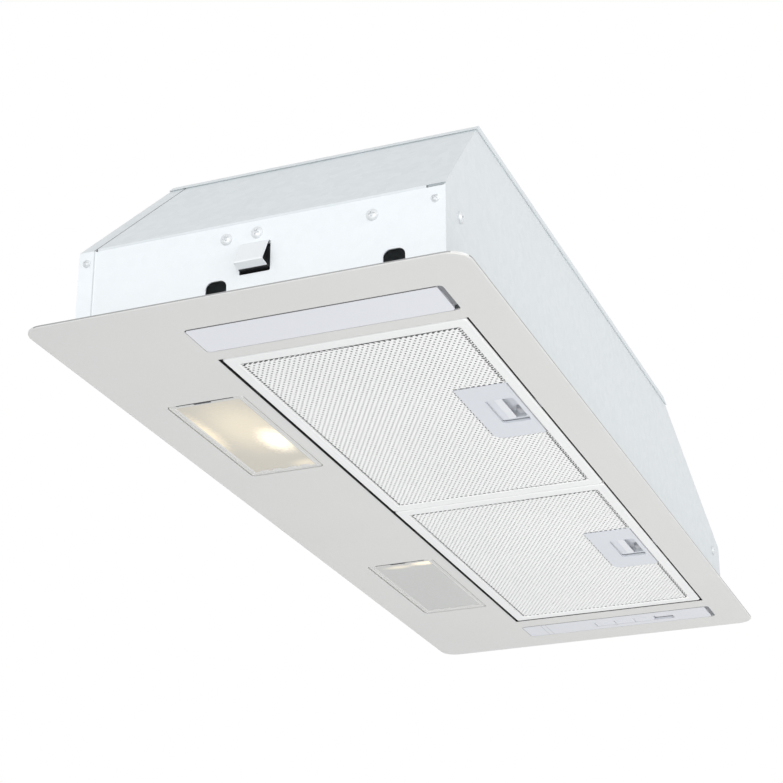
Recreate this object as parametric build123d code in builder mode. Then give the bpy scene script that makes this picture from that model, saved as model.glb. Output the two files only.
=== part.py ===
from build123d import *
import math
import os

# Ceiling range hood: a canopy hood that is pushed up into a cut-out over a cooktop, in millimetres.
# +Z is up, -Y is the front (lamp side), +X is the end with the blank strip, -X the end with the controls.
# The origin is the middle of the face plate's lower face.

# ---------------------------------------------------------------- face plate
plate_length = 720.0
plate_width = 274.0
plate_corner = 13.0
plate_sheet = 1.0
rim_height = 1.4
rim_roll = 0.8
cut_corner = 3.0

# ---------------------------------------------------------------- body sheet metal
wall_sheet = 0.8
end_overhang = 25.6
front_overhang = 21.3
back_overhang = 20.3
band_height = 58.5
body_height = 128.7
near_run = 60.4
far_run = 172.7
front_run = 30.2
return_flange = 10.2
back_flange = 11.0
foot_flange = 3.4
panel_skirt = 16.0
seam_gap = 0.5
past_top = 1.1
cover_lip = 3.5
cover_clearance = 0.1

# ---------------------------------------------------------------- openings in the face plate
filter_collar_height = 8.0
filter_back_room = 5.0
filter_front_room = 8.9
filter_blank_room = 11.2
filter_control_room = 16.0
strip_open_length = 160.0
strip_back_room = 5.7
blank_open_width = 33.0
blank_end_room = 9.0
control_open_width = 29.0
control_end_room = 2.4
lamp_open_length = 129.0
lamp_open_width = 53.4
lamp_front_room = 5.4
lamp_inset_near = 196.6
lamp_inset_far = 187.2

# ---------------------------------------------------------------- grease filters
filter_gap = 1.6
filter_split_gap = 1.2
filter_depth = 9.0
filter_border_end = 10.1
filter_border_side = 8.2
filter_lip = 2.2
filter_lip_chamfer = 1.2
filter_top_sheet = 0.8
filter_wall = 1.0
filter_corner = 2.4
filter_round = 1.5
mesh_fit = 0.15
tab_width = 14.0
tab_sheet = 1.2
tab_lift = 0.2
tab_spread = 180.0
tab_slot_gap = 1.5
tab_slot_height = 6.6
pivot_inset = 0.6
tab_reach = 4.6
latch_plate_length = 84.0
latch_plate_width = 34.0
latch_plate_sheet = 1.4
latch_plate_corner = 7.0
latch_plate_height = 7.6
latch_plate_fit = 0.2
latch_shift = 4.8
window_length = 38.0
window_width = 19.0
window_setback = 2.6
window_corner = 2.0
latch_sheet = 1.5
latch_slide_gap = 0.2
latch_travel = 4.5
latch_wing = 6.0
cup_gap = 1.0
cup_wall = 1.2
cup_height = 8.0
tongue_width = 14.0
tongue_reach = 2.0
tongue_slot_gap = 0.5

# ---------------------------------------------------------------- lamps
lamp_cover_gap = 0.75
lamp_cover_sheet = 2.0
lamp_cover_skirt = 6.0
lamp_cover_wall = 1.3
lamp_cover_rim = 4.0
lamp_cover_step = 0.5
lamp_pin_radius = 1.2
lamp_pin_fit = 0.06
lamp_pin_inset = 3.8
lamp_pin_height = 3.0
lamp_box_height = 43.0
lamp_box_sheet = 0.8
lamp_box_gap = 0.5
lamp_box_taper = 12.0
lamp_box_knee = 14.0
lamp_wire_hole = 4.0
lamp_tab_length = 9.0
bulb_base_radius = 6.8
bulb_outline = ((22.0, 6.8), (38.0, 14.4), (58.0, 17.5), (78.0, 14.8), (92.0, 7.8), (98.0, 0.0))
bulb_height = 24.0
holder_radius = 13.0
holder_bore = 7.4
holder_length = 27.0
holder_engagement = 19.0
holder_foot_sheet = 2.0
holder_foot_width = 34.0

# ---------------------------------------------------------------- control strip, blank strip and switches
strip_gap = 0.5
strip_end_gap = 3.4
strip_sheet = 2.0
strip_skirt = 7.0
strip_wall = 1.4
strip_lug_width = 12.0
strip_lug_sheet = 1.6
strip_lug_reach = 1.3
strip_lug_lift = 0.1
button_count = 4
button_pitch = 16.6
button_row_inset = 99.2
button_width = 10.6
button_row_shift = -1.3
button_gap = 0.35
button_depth = 9.0
button_travel = 2.2
button_flange = 1.0
button_flange_sheet = 1.0
button_lift = 0.4
pressed_button = 4
switch_width = 21.0
switch_height = 17.0
switch_leg = 2.0
switch_gap = 0.4

# ---------------------------------------------------------------- end wall details
clip_window_width = 19.5
clip_window_low = 24.6
clip_window_high = 44.2
clip_window_corner = 1.0
clip_width = 18.0
clip_sheet = 0.6
clip_ridge_out = 9.4
clip_ridge_height = 28.6
clip_tail_height = 26.4
clip_tail_in = 5.0
clip_pivot_height = 45.4
clip_pivot_gap = 0.3
clip_bend = 1.2
clip_base_length = 34.0
clip_base_height = 11.0
clip_base_shift = -8.6
slot_width = 13.4
slot_low = 8.0
slot_high = 23.7
slot_corner = 4.6
front_slot_y = -24.3
back_slot_room = 30.8
clip_screws = ((-18.4, 49.4), (1.1, 50.2))
back_band_screws = ((43.9, 47.4), (5.9, 50.4))
front_screw_room = 5.5
front_screw_height = 50.7
back_screw_height = 49.0
back_screw_inset = 25.0
screw_radius = 1.45
screw_hole_radius = 1.6
screw_head_radius = 3.7
small_head_radius = 2.5
screw_head_height = 2.2
screw_head_bevel = 1.0
screw_length = 6.5

# ---------------------------------------------------------------- partitions between wiring and air
partition_gap = 4.4
partition_foot = 4.0
partition_flange = 30.0
partition_clearance = 0.4

# ---------------------------------------------------------------- outlet collar and its flaps
collar_end_room = 13.7
collar_side_room = 9.1
collar_shift = 1.6
collar_foot_width = 17.5
collar_wall = 2.5
collar_height = 36.0
collar_screw_inset = 6.0
collar_screw_turn = 45.0
collar_foot_sheet = 3.0
collar_screw_count = 4
damper_pin_radius = 1.5
damper_pin_height = 16.0
damper_boss_radius = 4.0
damper_boss_length = 4.0
flap_sheet = 1.2
flap_gap = 0.9
flap_knuckle_radius = 3.0
flap_knuckle_length = 12.0
flap_pin_fit = 0.05
flap_spine_gap = 0.6
flap_ledge = 2.4
flap_ledge_sheet = 2.0
flap_rest_gap = 0.2

# ---------------------------------------------------------------- blower
fan_end_room = 7.0
scroll_growth = 22.0
scroll_back_room = 7.5
scroll_front_room = 4.948
scroll_start_angle = 130.0
scroll_sweep = 320.0
scroll_points = 8
scroll_wall = 1.4
scroll_low = 52.0
outlet_box_gap = 4.5
outlet_turn_rise = 44.0
outlet_turn_run = 60.0
ear_radius = 6.5
ear_reach = 5.4
ear_sheet = 3.0
fan_ears = (20.0, 325.0)
outlet_ears = (135.0, 225.0, 315.0)
inlet_cover = 10.0
inlet_lip_width = 11.0
inlet_throat_high = 58.6
inlet_flare = 5.0
inlet_bend = 1.5
inlet_sheet = 1.4
inlet_fit = 0.4
wheel_gap = 7.0
wheel_blade_depth = 11.0
wheel_low = 61.0
wheel_high = 120.0
wheel_blades = 36
blade_sheet = 0.8
blade_bulge = 2.6
wheel_skin = 1.2
wheel_ring_width = 6.0
wheel_dish_spread = 6.0
wheel_hub_inset = 23.0
wheel_hub_height = 74.0
wheel_boss_radius = 10.0
wheel_boss_low = 64.0
wheel_boss_high = 78.0
motor_gap = 4.0
motor_low = 81.0
motor_high = 121.0
motor_bevel = 4.0
shaft_radius = 4.0
shaft_fit = 0.05
shaft_low = 60.0
shaft_high = 117.0
shaft_nut_radius = 7.0
shaft_nut_height = 3.5
bush_radius = 8.0
bush_length = 8.0
bracket_inset = 4.0
bracket_sheet = 1.5
rubber_radius = 6.0
rubber_inset = 9.0
rubber_count = 3

# ---------------------------------------------------------------- wiring parts
terminal_length = 60.0
terminal_width = 46.0
terminal_depth = 25.0
terminal_wall = 1.6
terminal_lid_sheet = 1.6
terminal_height = 97.0
terminal_shift = 14.0
terminal_block_length = 34.0
terminal_block_width = 16.0
terminal_block_height = 13.0
terminal_block_shift = 16.0
terminal_pole_pitch = 10.0
terminal_pole_radius = 2.6
terminal_poles = 3
terminal_back_room = 46.7
gland_radius = 7.8
gland_fit = 0.2
gland_hex_across = 22.0
gland_hex_height = 6.0
gland_dome_radius = 9.5
gland_dome_height = 8.0
gland_dome_taper = 12.0
gland_nut_height = 5.0
gland_bore = 4.0
capacitor_radius = 14.0
capacitor_length = 56.0
capacitor_end_room = 62.0
capacitor_height = 34.0
capacitor_bevel = 1.5
strap_width = 14.0
strap_sheet = 1.0
strap_foot = 9.0
strap_fit = 0.1

# ---------------------------------------------------------------- places that follow from the sizes
body_near = plate_length / 2 - end_overhang
body_front = -plate_width / 2 + front_overhang
body_back = plate_width / 2 - back_overhang
slope_rise = body_height - band_height
ceiling = body_height - wall_sheet
front_lean = math.hypot(front_run, slope_rise) / slope_rise
strip_y1 = body_back - strip_back_room
strip_y0 = strip_y1 - strip_open_length
strip_open_y = (strip_y0 + strip_y1) / 2
blank_open_x = body_near - blank_end_room - blank_open_width / 2
control_open_x = -(body_near - control_end_room - control_open_width / 2)
lamp_open_y = body_front + lamp_front_room + lamp_open_width / 2
lamp_places = {"near": plate_length / 2 - lamp_inset_near, "far": -plate_length / 2 + lamp_inset_far}
filter_x0 = control_open_x + control_open_width / 2 + filter_control_room
filter_x1 = blank_open_x - blank_open_width / 2 - filter_blank_room
filter_y0 = lamp_open_y + lamp_open_width / 2 + filter_front_room
filter_y1 = body_back - wall_sheet - filter_back_room
filter_open_length, filter_open_width = filter_x1 - filter_x0, filter_y1 - filter_y0
filter_open_x, filter_open_y = (filter_x0 + filter_x1) / 2, (filter_y0 + filter_y1) / 2
filter_length = (filter_open_length - 2 * filter_gap - filter_split_gap) / 2
filter_width = filter_open_width - 2 * filter_gap
filter_centres = {
    "near": filter_x1 - filter_gap - filter_length / 2,
    "far": filter_x0 + filter_gap + filter_length / 2,
}
tab_low = plate_sheet + tab_lift
pivot_y = filter_y0 + pivot_inset
mesh_low = filter_lip + mesh_fit
mesh_high = filter_depth - filter_top_sheet - mesh_fit
window_edge_y = filter_open_y + filter_width / 2 - filter_border_side
latch_plate_y = window_edge_y - latch_plate_fit - latch_plate_width / 2
window_y = window_edge_y - latch_plate_fit - window_setback - window_width / 2
latch_low = plate_sheet + wall_sheet + latch_slide_gap
slot_places = (front_slot_y, body_back - back_slot_room)
band_screws = (*clip_screws, *[(body_back - room, height) for room, height in back_band_screws])
front_screw = (body_front + front_screw_room, front_screw_height)
button_row_x = control_open_x + button_row_shift
terminal_y = body_back - terminal_back_room
capacitor_x = filter_x0 + capacitor_end_room
ends = {"near": 1, "far": -1}
os.makedirs("parts", exist_ok=True)


def keep(builder, label):
    """Label a finished piece and write it as its own STEP file."""
    builder.part.label = label
    export_step(builder.part, f"parts/{label}.step")


def end_run(side):
    """Length that an end slope covers along X: the near end is the short one."""
    return near_run if side > 0 else far_run


def end_lean(side):
    """Sloped length of an end panel over its rise."""
    return math.hypot(end_run(side), slope_rise) / slope_rise


def end_x(side, height, depth=0.0):
    """X of an end slope at a height, on the plane that lies depth under its outer face."""
    fall = end_run(side) * (height - band_height) / slope_rise
    return side * (body_near - fall - depth * end_lean(side))


def end_height(side, x, depth=0.0):
    """Height at which an end slope, depth under its outer face, passes a place along X."""
    return band_height + (body_near - depth * end_lean(side) - side * x) * slope_rise / end_run(side)


def front_y(height, depth=0.0):
    """Y of the front slope at a height, depth under its outer face."""
    return body_front + front_run * (height - band_height) / slope_rise + depth * front_lean


def hip(side, rise, shift=0.0):
    """Plan point of a hip line, rise 0 at the band and 1 at the top, moved towards the back by shift."""
    return (side * (body_near - end_run(side) * rise), body_front + front_run * rise + shift)


def skin_outline(height, grow):
    """Corners of the body's outer skin at a height on the slopes, grown outwards."""
    near, far = end_x(1, height) + grow, end_x(-1, height) - grow
    front, back = front_y(height) - grow, body_back + grow
    return [(far, front), (near, front), (near, back), (far, back)]


def end_strip(side, points, width_from, width_to):
    """Sheet bent along XZ points, one wall thick towards the inside, from one Y to another."""
    plane = Plane(origin=(0, width_to, 0), x_dir=(1, 0, 0), z_dir=(0, -1, 0))
    with BuildPart() as strip:
        with BuildSketch(plane):
            with BuildLine():
                Polyline(*points)
                offset(amount=wall_sheet, side=Side.LEFT if side > 0 else Side.RIGHT)
            make_face()
        extrude(amount=width_to - width_from)
    return strip.part


def polar(x, y, radius, angle):
    """Plan point at a radius and an angle in degrees round a centre."""
    return (x + radius * math.cos(math.radians(angle)), y + radius * math.sin(math.radians(angle)))


def scroll_radius(angle):
    """Inner radius of the blower's spiral at an angle round the wheel."""
    turned = (angle - scroll_start_angle) % 360
    return scroll_start_radius + scroll_growth * turned / scroll_sweep


# the collar fills the width of the top, its foot a margin inside the bends
collar_foot_radius = (body_back - front_y(body_height)) / 2 - collar_side_room
collar_radius = collar_foot_radius - collar_foot_width
collar_screw_circle = collar_foot_radius - collar_screw_inset
collar_x = -(body_near - far_run) + collar_end_room + collar_foot_radius
collar_y = (body_back + front_y(body_height)) / 2 - collar_shift
outlet_box_radius = collar_radius + outlet_box_gap
# the spiral fills the depth between back wall and front slope, and the wheel fits in it
scroll_back = body_back - wall_sheet - scroll_back_room - scroll_wall
scroll_front = front_y(ceiling, wall_sheet) + scroll_front_room + scroll_wall
scroll_end_radius = (scroll_back - scroll_front + scroll_growth * 180 / scroll_sweep) / 2
scroll_start_radius = scroll_end_radius - scroll_growth
fan_x = body_near - near_run - fan_end_room - scroll_end_radius
fan_y = scroll_back - scroll_end_radius
wheel_radius = scroll_start_radius - wheel_gap
wheel_hub_radius = wheel_radius - wheel_hub_inset
wheel_dish_radius = wheel_hub_radius + wheel_dish_spread
inlet_radius = wheel_radius - inlet_cover
inlet_lip_radius = inlet_radius + inlet_lip_width
motor_radius = wheel_hub_radius - motor_gap
bracket_radius = motor_radius - bracket_inset
rubber_circle = bracket_radius - rubber_inset
fan_ear_places = [polar(fan_x, fan_y, scroll_radius(angle) + ear_reach, angle) for angle in fan_ears]
outlet_ear_places = [polar(collar_x, collar_y, collar_screw_circle, angle) for angle in outlet_ears]
collar_screw_places = [
    polar(collar_x, collar_y, collar_screw_circle, collar_screw_turn + i * 360 / collar_screw_count)
    for i in range(collar_screw_count)
]
# plane on the inner face of the far slope, local X towards the back, local Y up the slope
inside_slope = Plane(
    origin=(end_x(-1, terminal_height, wall_sheet), terminal_y, terminal_height),
    x_dir=(0, 1, 0), z_dir=(slope_rise, 0, -far_run),
)
outside_slope = inside_slope.offset(-wall_sheet)


# ================================================================ face plate
with BuildPart() as face_plate:
    with BuildSketch():
        RectangleRounded(plate_length, plate_width, plate_corner)
    extrude(amount=rim_height)
    fillet(face_plate.faces().sort_by(Axis.Z)[0].outer_wire().edges(), rim_roll)
    with BuildSketch(Plane.XY.offset(plate_sheet)):
        RectangleRounded(
            plate_length - 2 * plate_sheet, plate_width - 2 * plate_sheet, plate_corner - plate_sheet
        )
    extrude(amount=rim_height, mode=Mode.SUBTRACT)
    # upturned collar that stiffens the filter opening
    with BuildSketch(Plane.XY.offset(plate_sheet)):
        with Locations((filter_open_x, filter_open_y)):
            Rectangle(filter_open_length + 2 * plate_sheet, filter_open_width + 2 * plate_sheet)
    extrude(amount=filter_collar_height)
    with BuildSketch():
        with Locations((filter_open_x, filter_open_y)):
            Rectangle(filter_open_length, filter_open_width)
        with Locations((blank_open_x, strip_open_y)):
            RectangleRounded(blank_open_width, strip_open_length, cut_corner)
        with Locations((control_open_x, strip_open_y)):
            RectangleRounded(control_open_width, strip_open_length, cut_corner)
        with Locations(*[(x, lamp_open_y) for x in lamp_places.values()]):
            RectangleRounded(lamp_open_length, lamp_open_width, cut_corner)
    extrude(amount=plate_sheet + filter_collar_height, mode=Mode.SUBTRACT)
    # slots for the filters' front tabs and for the latch tongues, through the collar
    with BuildSketch(Plane.XY.offset(plate_sheet)):
        with Locations((0, filter_y0 - plate_sheet / 2)):
            with Locations(*[(x, 0) for x in filter_centres.values()]):
                with GridLocations(tab_spread, 1, 2, 1):
                    Rectangle(tab_width + 2 * tab_slot_gap, plate_sheet)
    extrude(amount=tab_slot_height, mode=Mode.SUBTRACT)
    with BuildSketch(Plane.XY.offset(latch_low - tongue_slot_gap)):
        with Locations(*[(x + latch_shift, filter_y1 + plate_sheet / 2) for x in filter_centres.values()]):
            Rectangle(tongue_width + 2 * tongue_slot_gap, plate_sheet)
    extrude(amount=latch_sheet + 2 * tongue_slot_gap, mode=Mode.SUBTRACT)
keep(face_plate, "face_plate")

# ================================================================ body shell
def corner_flange(side):
    """Return flange of the front wall that laps round one end, mitred on the hip."""
    edge = [
        (side * body_near, plate_sheet), (side * body_near, band_height),
        (end_x(side, ceiling), ceiling),
    ]
    with BuildPart() as flange:
        add(end_strip(side, edge, body_front, body_back))
        with BuildSketch():
            with BuildLine():
                Polyline(
                    hip(side, 0), hip(side, 0, return_flange),
                    hip(side, past_top, return_flange), hip(side, past_top), close=True,
                )
            make_face()
        extrude(amount=body_height, mode=Mode.INTERSECT)
        with Locations(Location((side * body_near, front_screw[0], front_screw[1]), (0, 90, 0))):
            Cylinder(screw_hole_radius, 4 * wall_sheet, mode=Mode.SUBTRACT)
    return flange.part


corner_flanges = [corner_flange(side) for side in ends.values()]
with BuildPart() as front_wall:
    with BuildSketch(Plane.YZ.offset(-plate_length / 2)):
        with BuildLine():
            Polyline(
                (body_front + foot_flange, plate_sheet), (body_front, plate_sheet),
                (body_front, band_height), (front_y(ceiling), ceiling),
            )
            offset(amount=wall_sheet, side=Side.RIGHT)
        make_face()
    extrude(amount=plate_length)
    # both ends are mitred along the hips
    with BuildSketch():
        with BuildLine():
            Polyline(hip(-1, 0), hip(1, 0), hip(1, past_top), hip(-1, past_top), close=True)
        make_face()
    extrude(amount=body_height, mode=Mode.INTERSECT)
    for flange in corner_flanges:
        add(flange)
keep(front_wall, "front_wall")


def back_corner(side):
    """Flange of the back wall that lies under the band and under the end slope."""
    outer_x = side * (body_near - 2 * wall_sheet)
    kink = end_height(side, outer_x, wall_sheet)
    low = end_strip(
        side, [(outer_x, plate_sheet), (outer_x, band_height - panel_skirt - seam_gap)],
        body_back - back_flange, body_back,
    )
    slope_start = kink + seam_gap
    high = end_strip(
        side,
        [(end_x(side, slope_start, wall_sheet), slope_start), (end_x(side, ceiling, wall_sheet), ceiling)],
        body_back - back_flange, body_back,
    )
    return [low, high]


def gable(side):
    """Foot, shoulder and top corner of the back wall at one end, inside the end sheets."""
    corner_x = side * (body_near - 2 * wall_sheet)
    shoulder = end_height(side, corner_x, wall_sheet)
    return [(corner_x, plate_sheet), (corner_x, shoulder), (end_x(side, ceiling, wall_sheet), ceiling)]


back_corners = [flange for side in ends.values() for flange in back_corner(side)]
with BuildPart() as back_wall:
    with BuildSketch(Plane.XZ.offset(-body_back)):
        with BuildLine():
            Polyline(*gable(1), *reversed(gable(-1)), close=True)
        make_face()
    extrude(amount=wall_sheet)
    with BuildSketch(Plane.XY.offset(plate_sheet)):
        with Locations((0, body_back - (foot_flange + wall_sheet) / 2)):
            Rectangle(2 * (body_near - 2 * wall_sheet - back_flange), foot_flange + wall_sheet)
    extrude(amount=wall_sheet)
    for flange in back_corners:
        add(flange)
    for side in ends.values():
        with Locations(
            Location((side * (body_near - back_screw_inset), body_back, back_screw_height), (90, 0, 0))
        ):
            Cylinder(screw_hole_radius, 4 * wall_sheet, mode=Mode.SUBTRACT)
    for side in ends.values():
        with Locations(Location((side * body_near, band_screws[-1][0], band_screws[-1][1]), (0, 90, 0))):
            Cylinder(screw_hole_radius, 6 * wall_sheet, mode=Mode.SUBTRACT)
keep(back_wall, "back_wall")


def end_band(side):
    """Upright end sheet between plate and slope, with its spring window, slots and screw holes."""
    outer_x = side * (body_near - wall_sheet)
    y0, y1 = body_front + wall_sheet, body_back
    band_top = end_height(side, outer_x, wall_sheet)
    with BuildPart() as band:
        with BuildSketch(Plane.YZ.offset(outer_x)):
            with Locations(((y0 + y1) / 2, (plate_sheet + band_top) / 2)):
                Rectangle(y1 - y0, band_top - plate_sheet)
            with Locations((0, (clip_window_low + clip_window_high) / 2)):
                RectangleRounded(
                    clip_window_width, clip_window_high - clip_window_low, clip_window_corner,
                    mode=Mode.SUBTRACT,
                )
            with Locations(*[(y, (slot_low + slot_high) / 2) for y in slot_places]):
                RectangleRounded(slot_width, slot_high - slot_low, slot_corner, mode=Mode.SUBTRACT)
            with Locations(*band_screws, front_screw):
                Circle(screw_hole_radius, mode=Mode.SUBTRACT)
        extrude(amount=-side * wall_sheet)
        # foot that the band stands on, turned inwards in front of the strip
        foot_y0 = body_front + wall_sheet + foot_flange + seam_gap
        foot_y1 = strip_y0 - 2 * strip_lug_reach
        with BuildSketch(Plane.XY.offset(plate_sheet)):
            with Locations((outer_x - side * (wall_sheet + foot_flange) / 2, (foot_y0 + foot_y1) / 2)):
                Rectangle(wall_sheet + foot_flange, foot_y1 - foot_y0)
        extrude(amount=wall_sheet)
    return band


def end_panel(side):
    """Sloped end sheet with the skirt that the band's screws go into."""
    skirt_x = side * (body_near - 2 * wall_sheet)
    points = [
        (skirt_x, band_height - panel_skirt), (skirt_x, end_height(side, skirt_x)),
        (end_x(side, ceiling), ceiling),
    ]
    sheet = end_strip(side, points, body_front, body_back)
    with BuildPart() as panel:
        add(sheet)
        with BuildSketch():
            with BuildLine():
                shift = return_flange + seam_gap
                Polyline(
                    hip(side, 0, shift), hip(side, past_top, shift),
                    (hip(side, past_top)[0], body_back), (side * body_near, body_back), close=True,
                )
            make_face()
        extrude(amount=body_height, mode=Mode.INTERSECT)
        # relief at the back corner, where the back wall's flange and the skirt would meet
        with BuildSketch():
            with Locations((skirt_x, body_back - back_flange / 2)):
                Rectangle(6 * wall_sheet, back_flange + 2 * seam_gap)
        extrude(amount=end_height(side, skirt_x), mode=Mode.SUBTRACT)
        with Locations(
            *[Location((side * body_near, y, z), (0, 90, 0)) for y, z in band_screws]
        ):
            Cylinder(screw_hole_radius, 8 * wall_sheet, mode=Mode.SUBTRACT)
        if side < 0:
            with BuildSketch(outside_slope):
                Circle(gland_radius + gland_fit)
            extrude(amount=wall_sheet, mode=Mode.SUBTRACT)
    return panel


def partition(side):
    """Upright sheet that parts the end compartment from the air, flanged on to plate and back wall."""
    filter_edge = (filter_x1 if side > 0 else -filter_x0) + plate_sheet
    inner_x = filter_edge + partition_gap - wall_sheet
    outer_x = inner_x + wall_sheet
    top = end_height(side, side * outer_x, 2 * wall_sheet) - partition_clearance
    knee = min(top, band_height)
    front = wall_sheet + partition_clearance
    back_y = body_back - wall_sheet
    with BuildPart() as sheet:
        with BuildSketch(Plane.YZ.offset(side * inner_x)):
            with BuildLine():
                Polyline(
                    (body_front + front + foot_flange, plate_sheet), (back_y - foot_flange, plate_sheet),
                    (back_y - foot_flange, plate_sheet + 2 * wall_sheet),
                    (back_y, plate_sheet + 2 * wall_sheet), (back_y, top),
                    (front_y(top, front), top), (body_front + front, knee),
                    (body_front + front, plate_sheet + 2 * wall_sheet),
                    (body_front + front + foot_flange, plate_sheet + 2 * wall_sheet), close=True,
                )
            make_face()
        extrude(amount=side * wall_sheet)
        with BuildSketch(Plane.XY.offset(plate_sheet)):
            with Locations((side * (outer_x + partition_foot / 2), filter_open_y)):
                Rectangle(partition_foot, filter_open_width / 2)
        extrude(amount=wall_sheet)
        flange_low = plate_sheet + 2 * wall_sheet
        with BuildSketch(Plane.XY.offset(flange_low)):
            with Locations((side * (outer_x + partition_flange / 2), back_y - wall_sheet / 2)):
                Rectangle(partition_flange, wall_sheet)
        extrude(amount=band_height - flange_low)
        with Locations(
            Location((side * (body_near - back_screw_inset), body_back, back_screw_height), (90, 0, 0))
        ):
            Cylinder(screw_hole_radius, 8 * wall_sheet, mode=Mode.SUBTRACT)
    return sheet


for name, side in ends.items():
    keep(end_band(side), f"{name}_end_band")
    keep(end_panel(side), f"{name}_end_panel")
    keep(partition(side), f"{name}_partition")


with BuildPart() as top_cover:
    lip_low = body_height - cover_lip
    for height in (lip_low, body_height):
        with BuildSketch(Plane.XY.offset(height)):
            with BuildLine():
                Polyline(*skin_outline(height, cover_clearance + wall_sheet), close=True)
            make_face()
    loft()
    for height in (lip_low, ceiling):
        with BuildSketch(Plane.XY.offset(height)):
            with BuildLine():
                Polyline(*skin_outline(height, cover_clearance), close=True)
            make_face()
    loft(mode=Mode.SUBTRACT)
    with BuildSketch(Plane.XY.offset(ceiling)):
        with Locations((collar_x, collar_y)):
            Circle(collar_radius - collar_wall)
        with Locations(*collar_screw_places, *fan_ear_places):
            Circle(screw_hole_radius)
    extrude(amount=wall_sheet, mode=Mode.SUBTRACT)
keep(top_cover, "top_cover")


# ================================================================ grease filters
def filter_frame(x):
    """Folded channel frame of one filter, with its front tabs and the slot for the latch tongue."""
    outer_y0 = filter_open_y - filter_width / 2
    with BuildPart() as frame:
        with BuildSketch():
            with Locations((x, filter_open_y)):
                RectangleRounded(filter_length, filter_width, filter_corner)
        extrude(amount=filter_depth)
        fillet(frame.faces().sort_by(Axis.Z)[0].outer_wire().edges(), filter_round)
        with BuildSketch():
            with Locations((x, filter_open_y)):
                Rectangle(filter_length - 2 * filter_border_end, filter_width - 2 * filter_border_side)
        extrude(amount=filter_depth, mode=Mode.SUBTRACT)
        chamfer(frame.faces().sort_by(Axis.Z)[0].inner_wires()[0].edges(), filter_lip_chamfer)
        with BuildSketch(Plane.XY.offset(filter_lip)):
            with Locations((x, filter_open_y)):
                RectangleRounded(
                    filter_length - 2 * filter_wall, filter_width - 2 * filter_wall,
                    filter_corner - filter_wall,
                )
        extrude(amount=filter_depth - filter_lip - filter_top_sheet, mode=Mode.SUBTRACT)
        with BuildSketch(Plane.XY.offset(tab_low)):
            with Locations((x, (outer_y0 + filter_wall + pivot_y - tab_reach) / 2)):
                with GridLocations(tab_spread, 1, 2, 1):
                    Rectangle(tab_width, outer_y0 + filter_wall - pivot_y + tab_reach)
        extrude(amount=tab_sheet)
        with BuildSketch(Plane.XY.offset(latch_low - tongue_slot_gap)):
            with Locations((x + latch_shift, filter_open_y + filter_width / 2)):
                Rectangle(tongue_width + 2 * tongue_slot_gap, 4 * filter_border_side)
        extrude(amount=latch_sheet + 2 * tongue_slot_gap, mode=Mode.SUBTRACT)
    return frame


def filter_mesh(x):
    """Pad of expanded sheet that fills the frame, cut away where the latch sits."""
    with BuildPart() as pad:
        with BuildSketch(Plane.XY.offset(mesh_low)):
            with Locations((x, filter_open_y)):
                RectangleRounded(
                    filter_length - 2 * (filter_wall + mesh_fit), filter_width - 2 * (filter_wall + mesh_fit),
                    filter_corner - filter_wall,
                )
            cut_front = latch_plate_y - latch_plate_width / 2 - latch_plate_fit
            cut_back = filter_open_y + filter_width / 2
            with Locations((x + latch_shift, (cut_front + cut_back) / 2)):
                Rectangle(latch_plate_length + 2 * latch_plate_fit, cut_back - cut_front, mode=Mode.SUBTRACT)
        extrude(amount=mesh_high - mesh_low)
    return pad


def latch_plate(x):
    """Moulded tray round the latch: floor with a finger window, walls up through the pad."""
    with BuildPart() as tray:
        with BuildSketch():
            with Locations((x + latch_shift, latch_plate_y)):
                Rectangle(latch_plate_length, latch_plate_width)
        extrude(amount=latch_plate_height)
        corner = tray.edges().filter_by(Axis.Z).sort_by(Axis.X)[0:2].sort_by(Axis.Y)[0]
        fillet(corner, latch_plate_corner)
        with BuildSketch(Plane.XY.offset(latch_plate_sheet)):
            with Locations((x + latch_shift, latch_plate_y)):
                Rectangle(
                    latch_plate_length - 2 * latch_plate_sheet, latch_plate_width - 2 * latch_plate_sheet
                )
        extrude(amount=latch_plate_height, mode=Mode.SUBTRACT)
        with BuildSketch():
            with Locations((x + latch_shift, window_y)):
                RectangleRounded(window_length, window_width, window_corner)
        extrude(amount=latch_plate_sheet, mode=Mode.SUBTRACT)
        with BuildSketch(Plane.XY.offset(latch_low - tongue_slot_gap)):
            with Locations((x + latch_shift, latch_plate_y + latch_plate_width / 2)):
                Rectangle(tongue_width + 2 * tongue_slot_gap, 3 * latch_plate_sheet)
        extrude(amount=latch_sheet + 2 * tongue_slot_gap, mode=Mode.SUBTRACT)
    return tray


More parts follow.
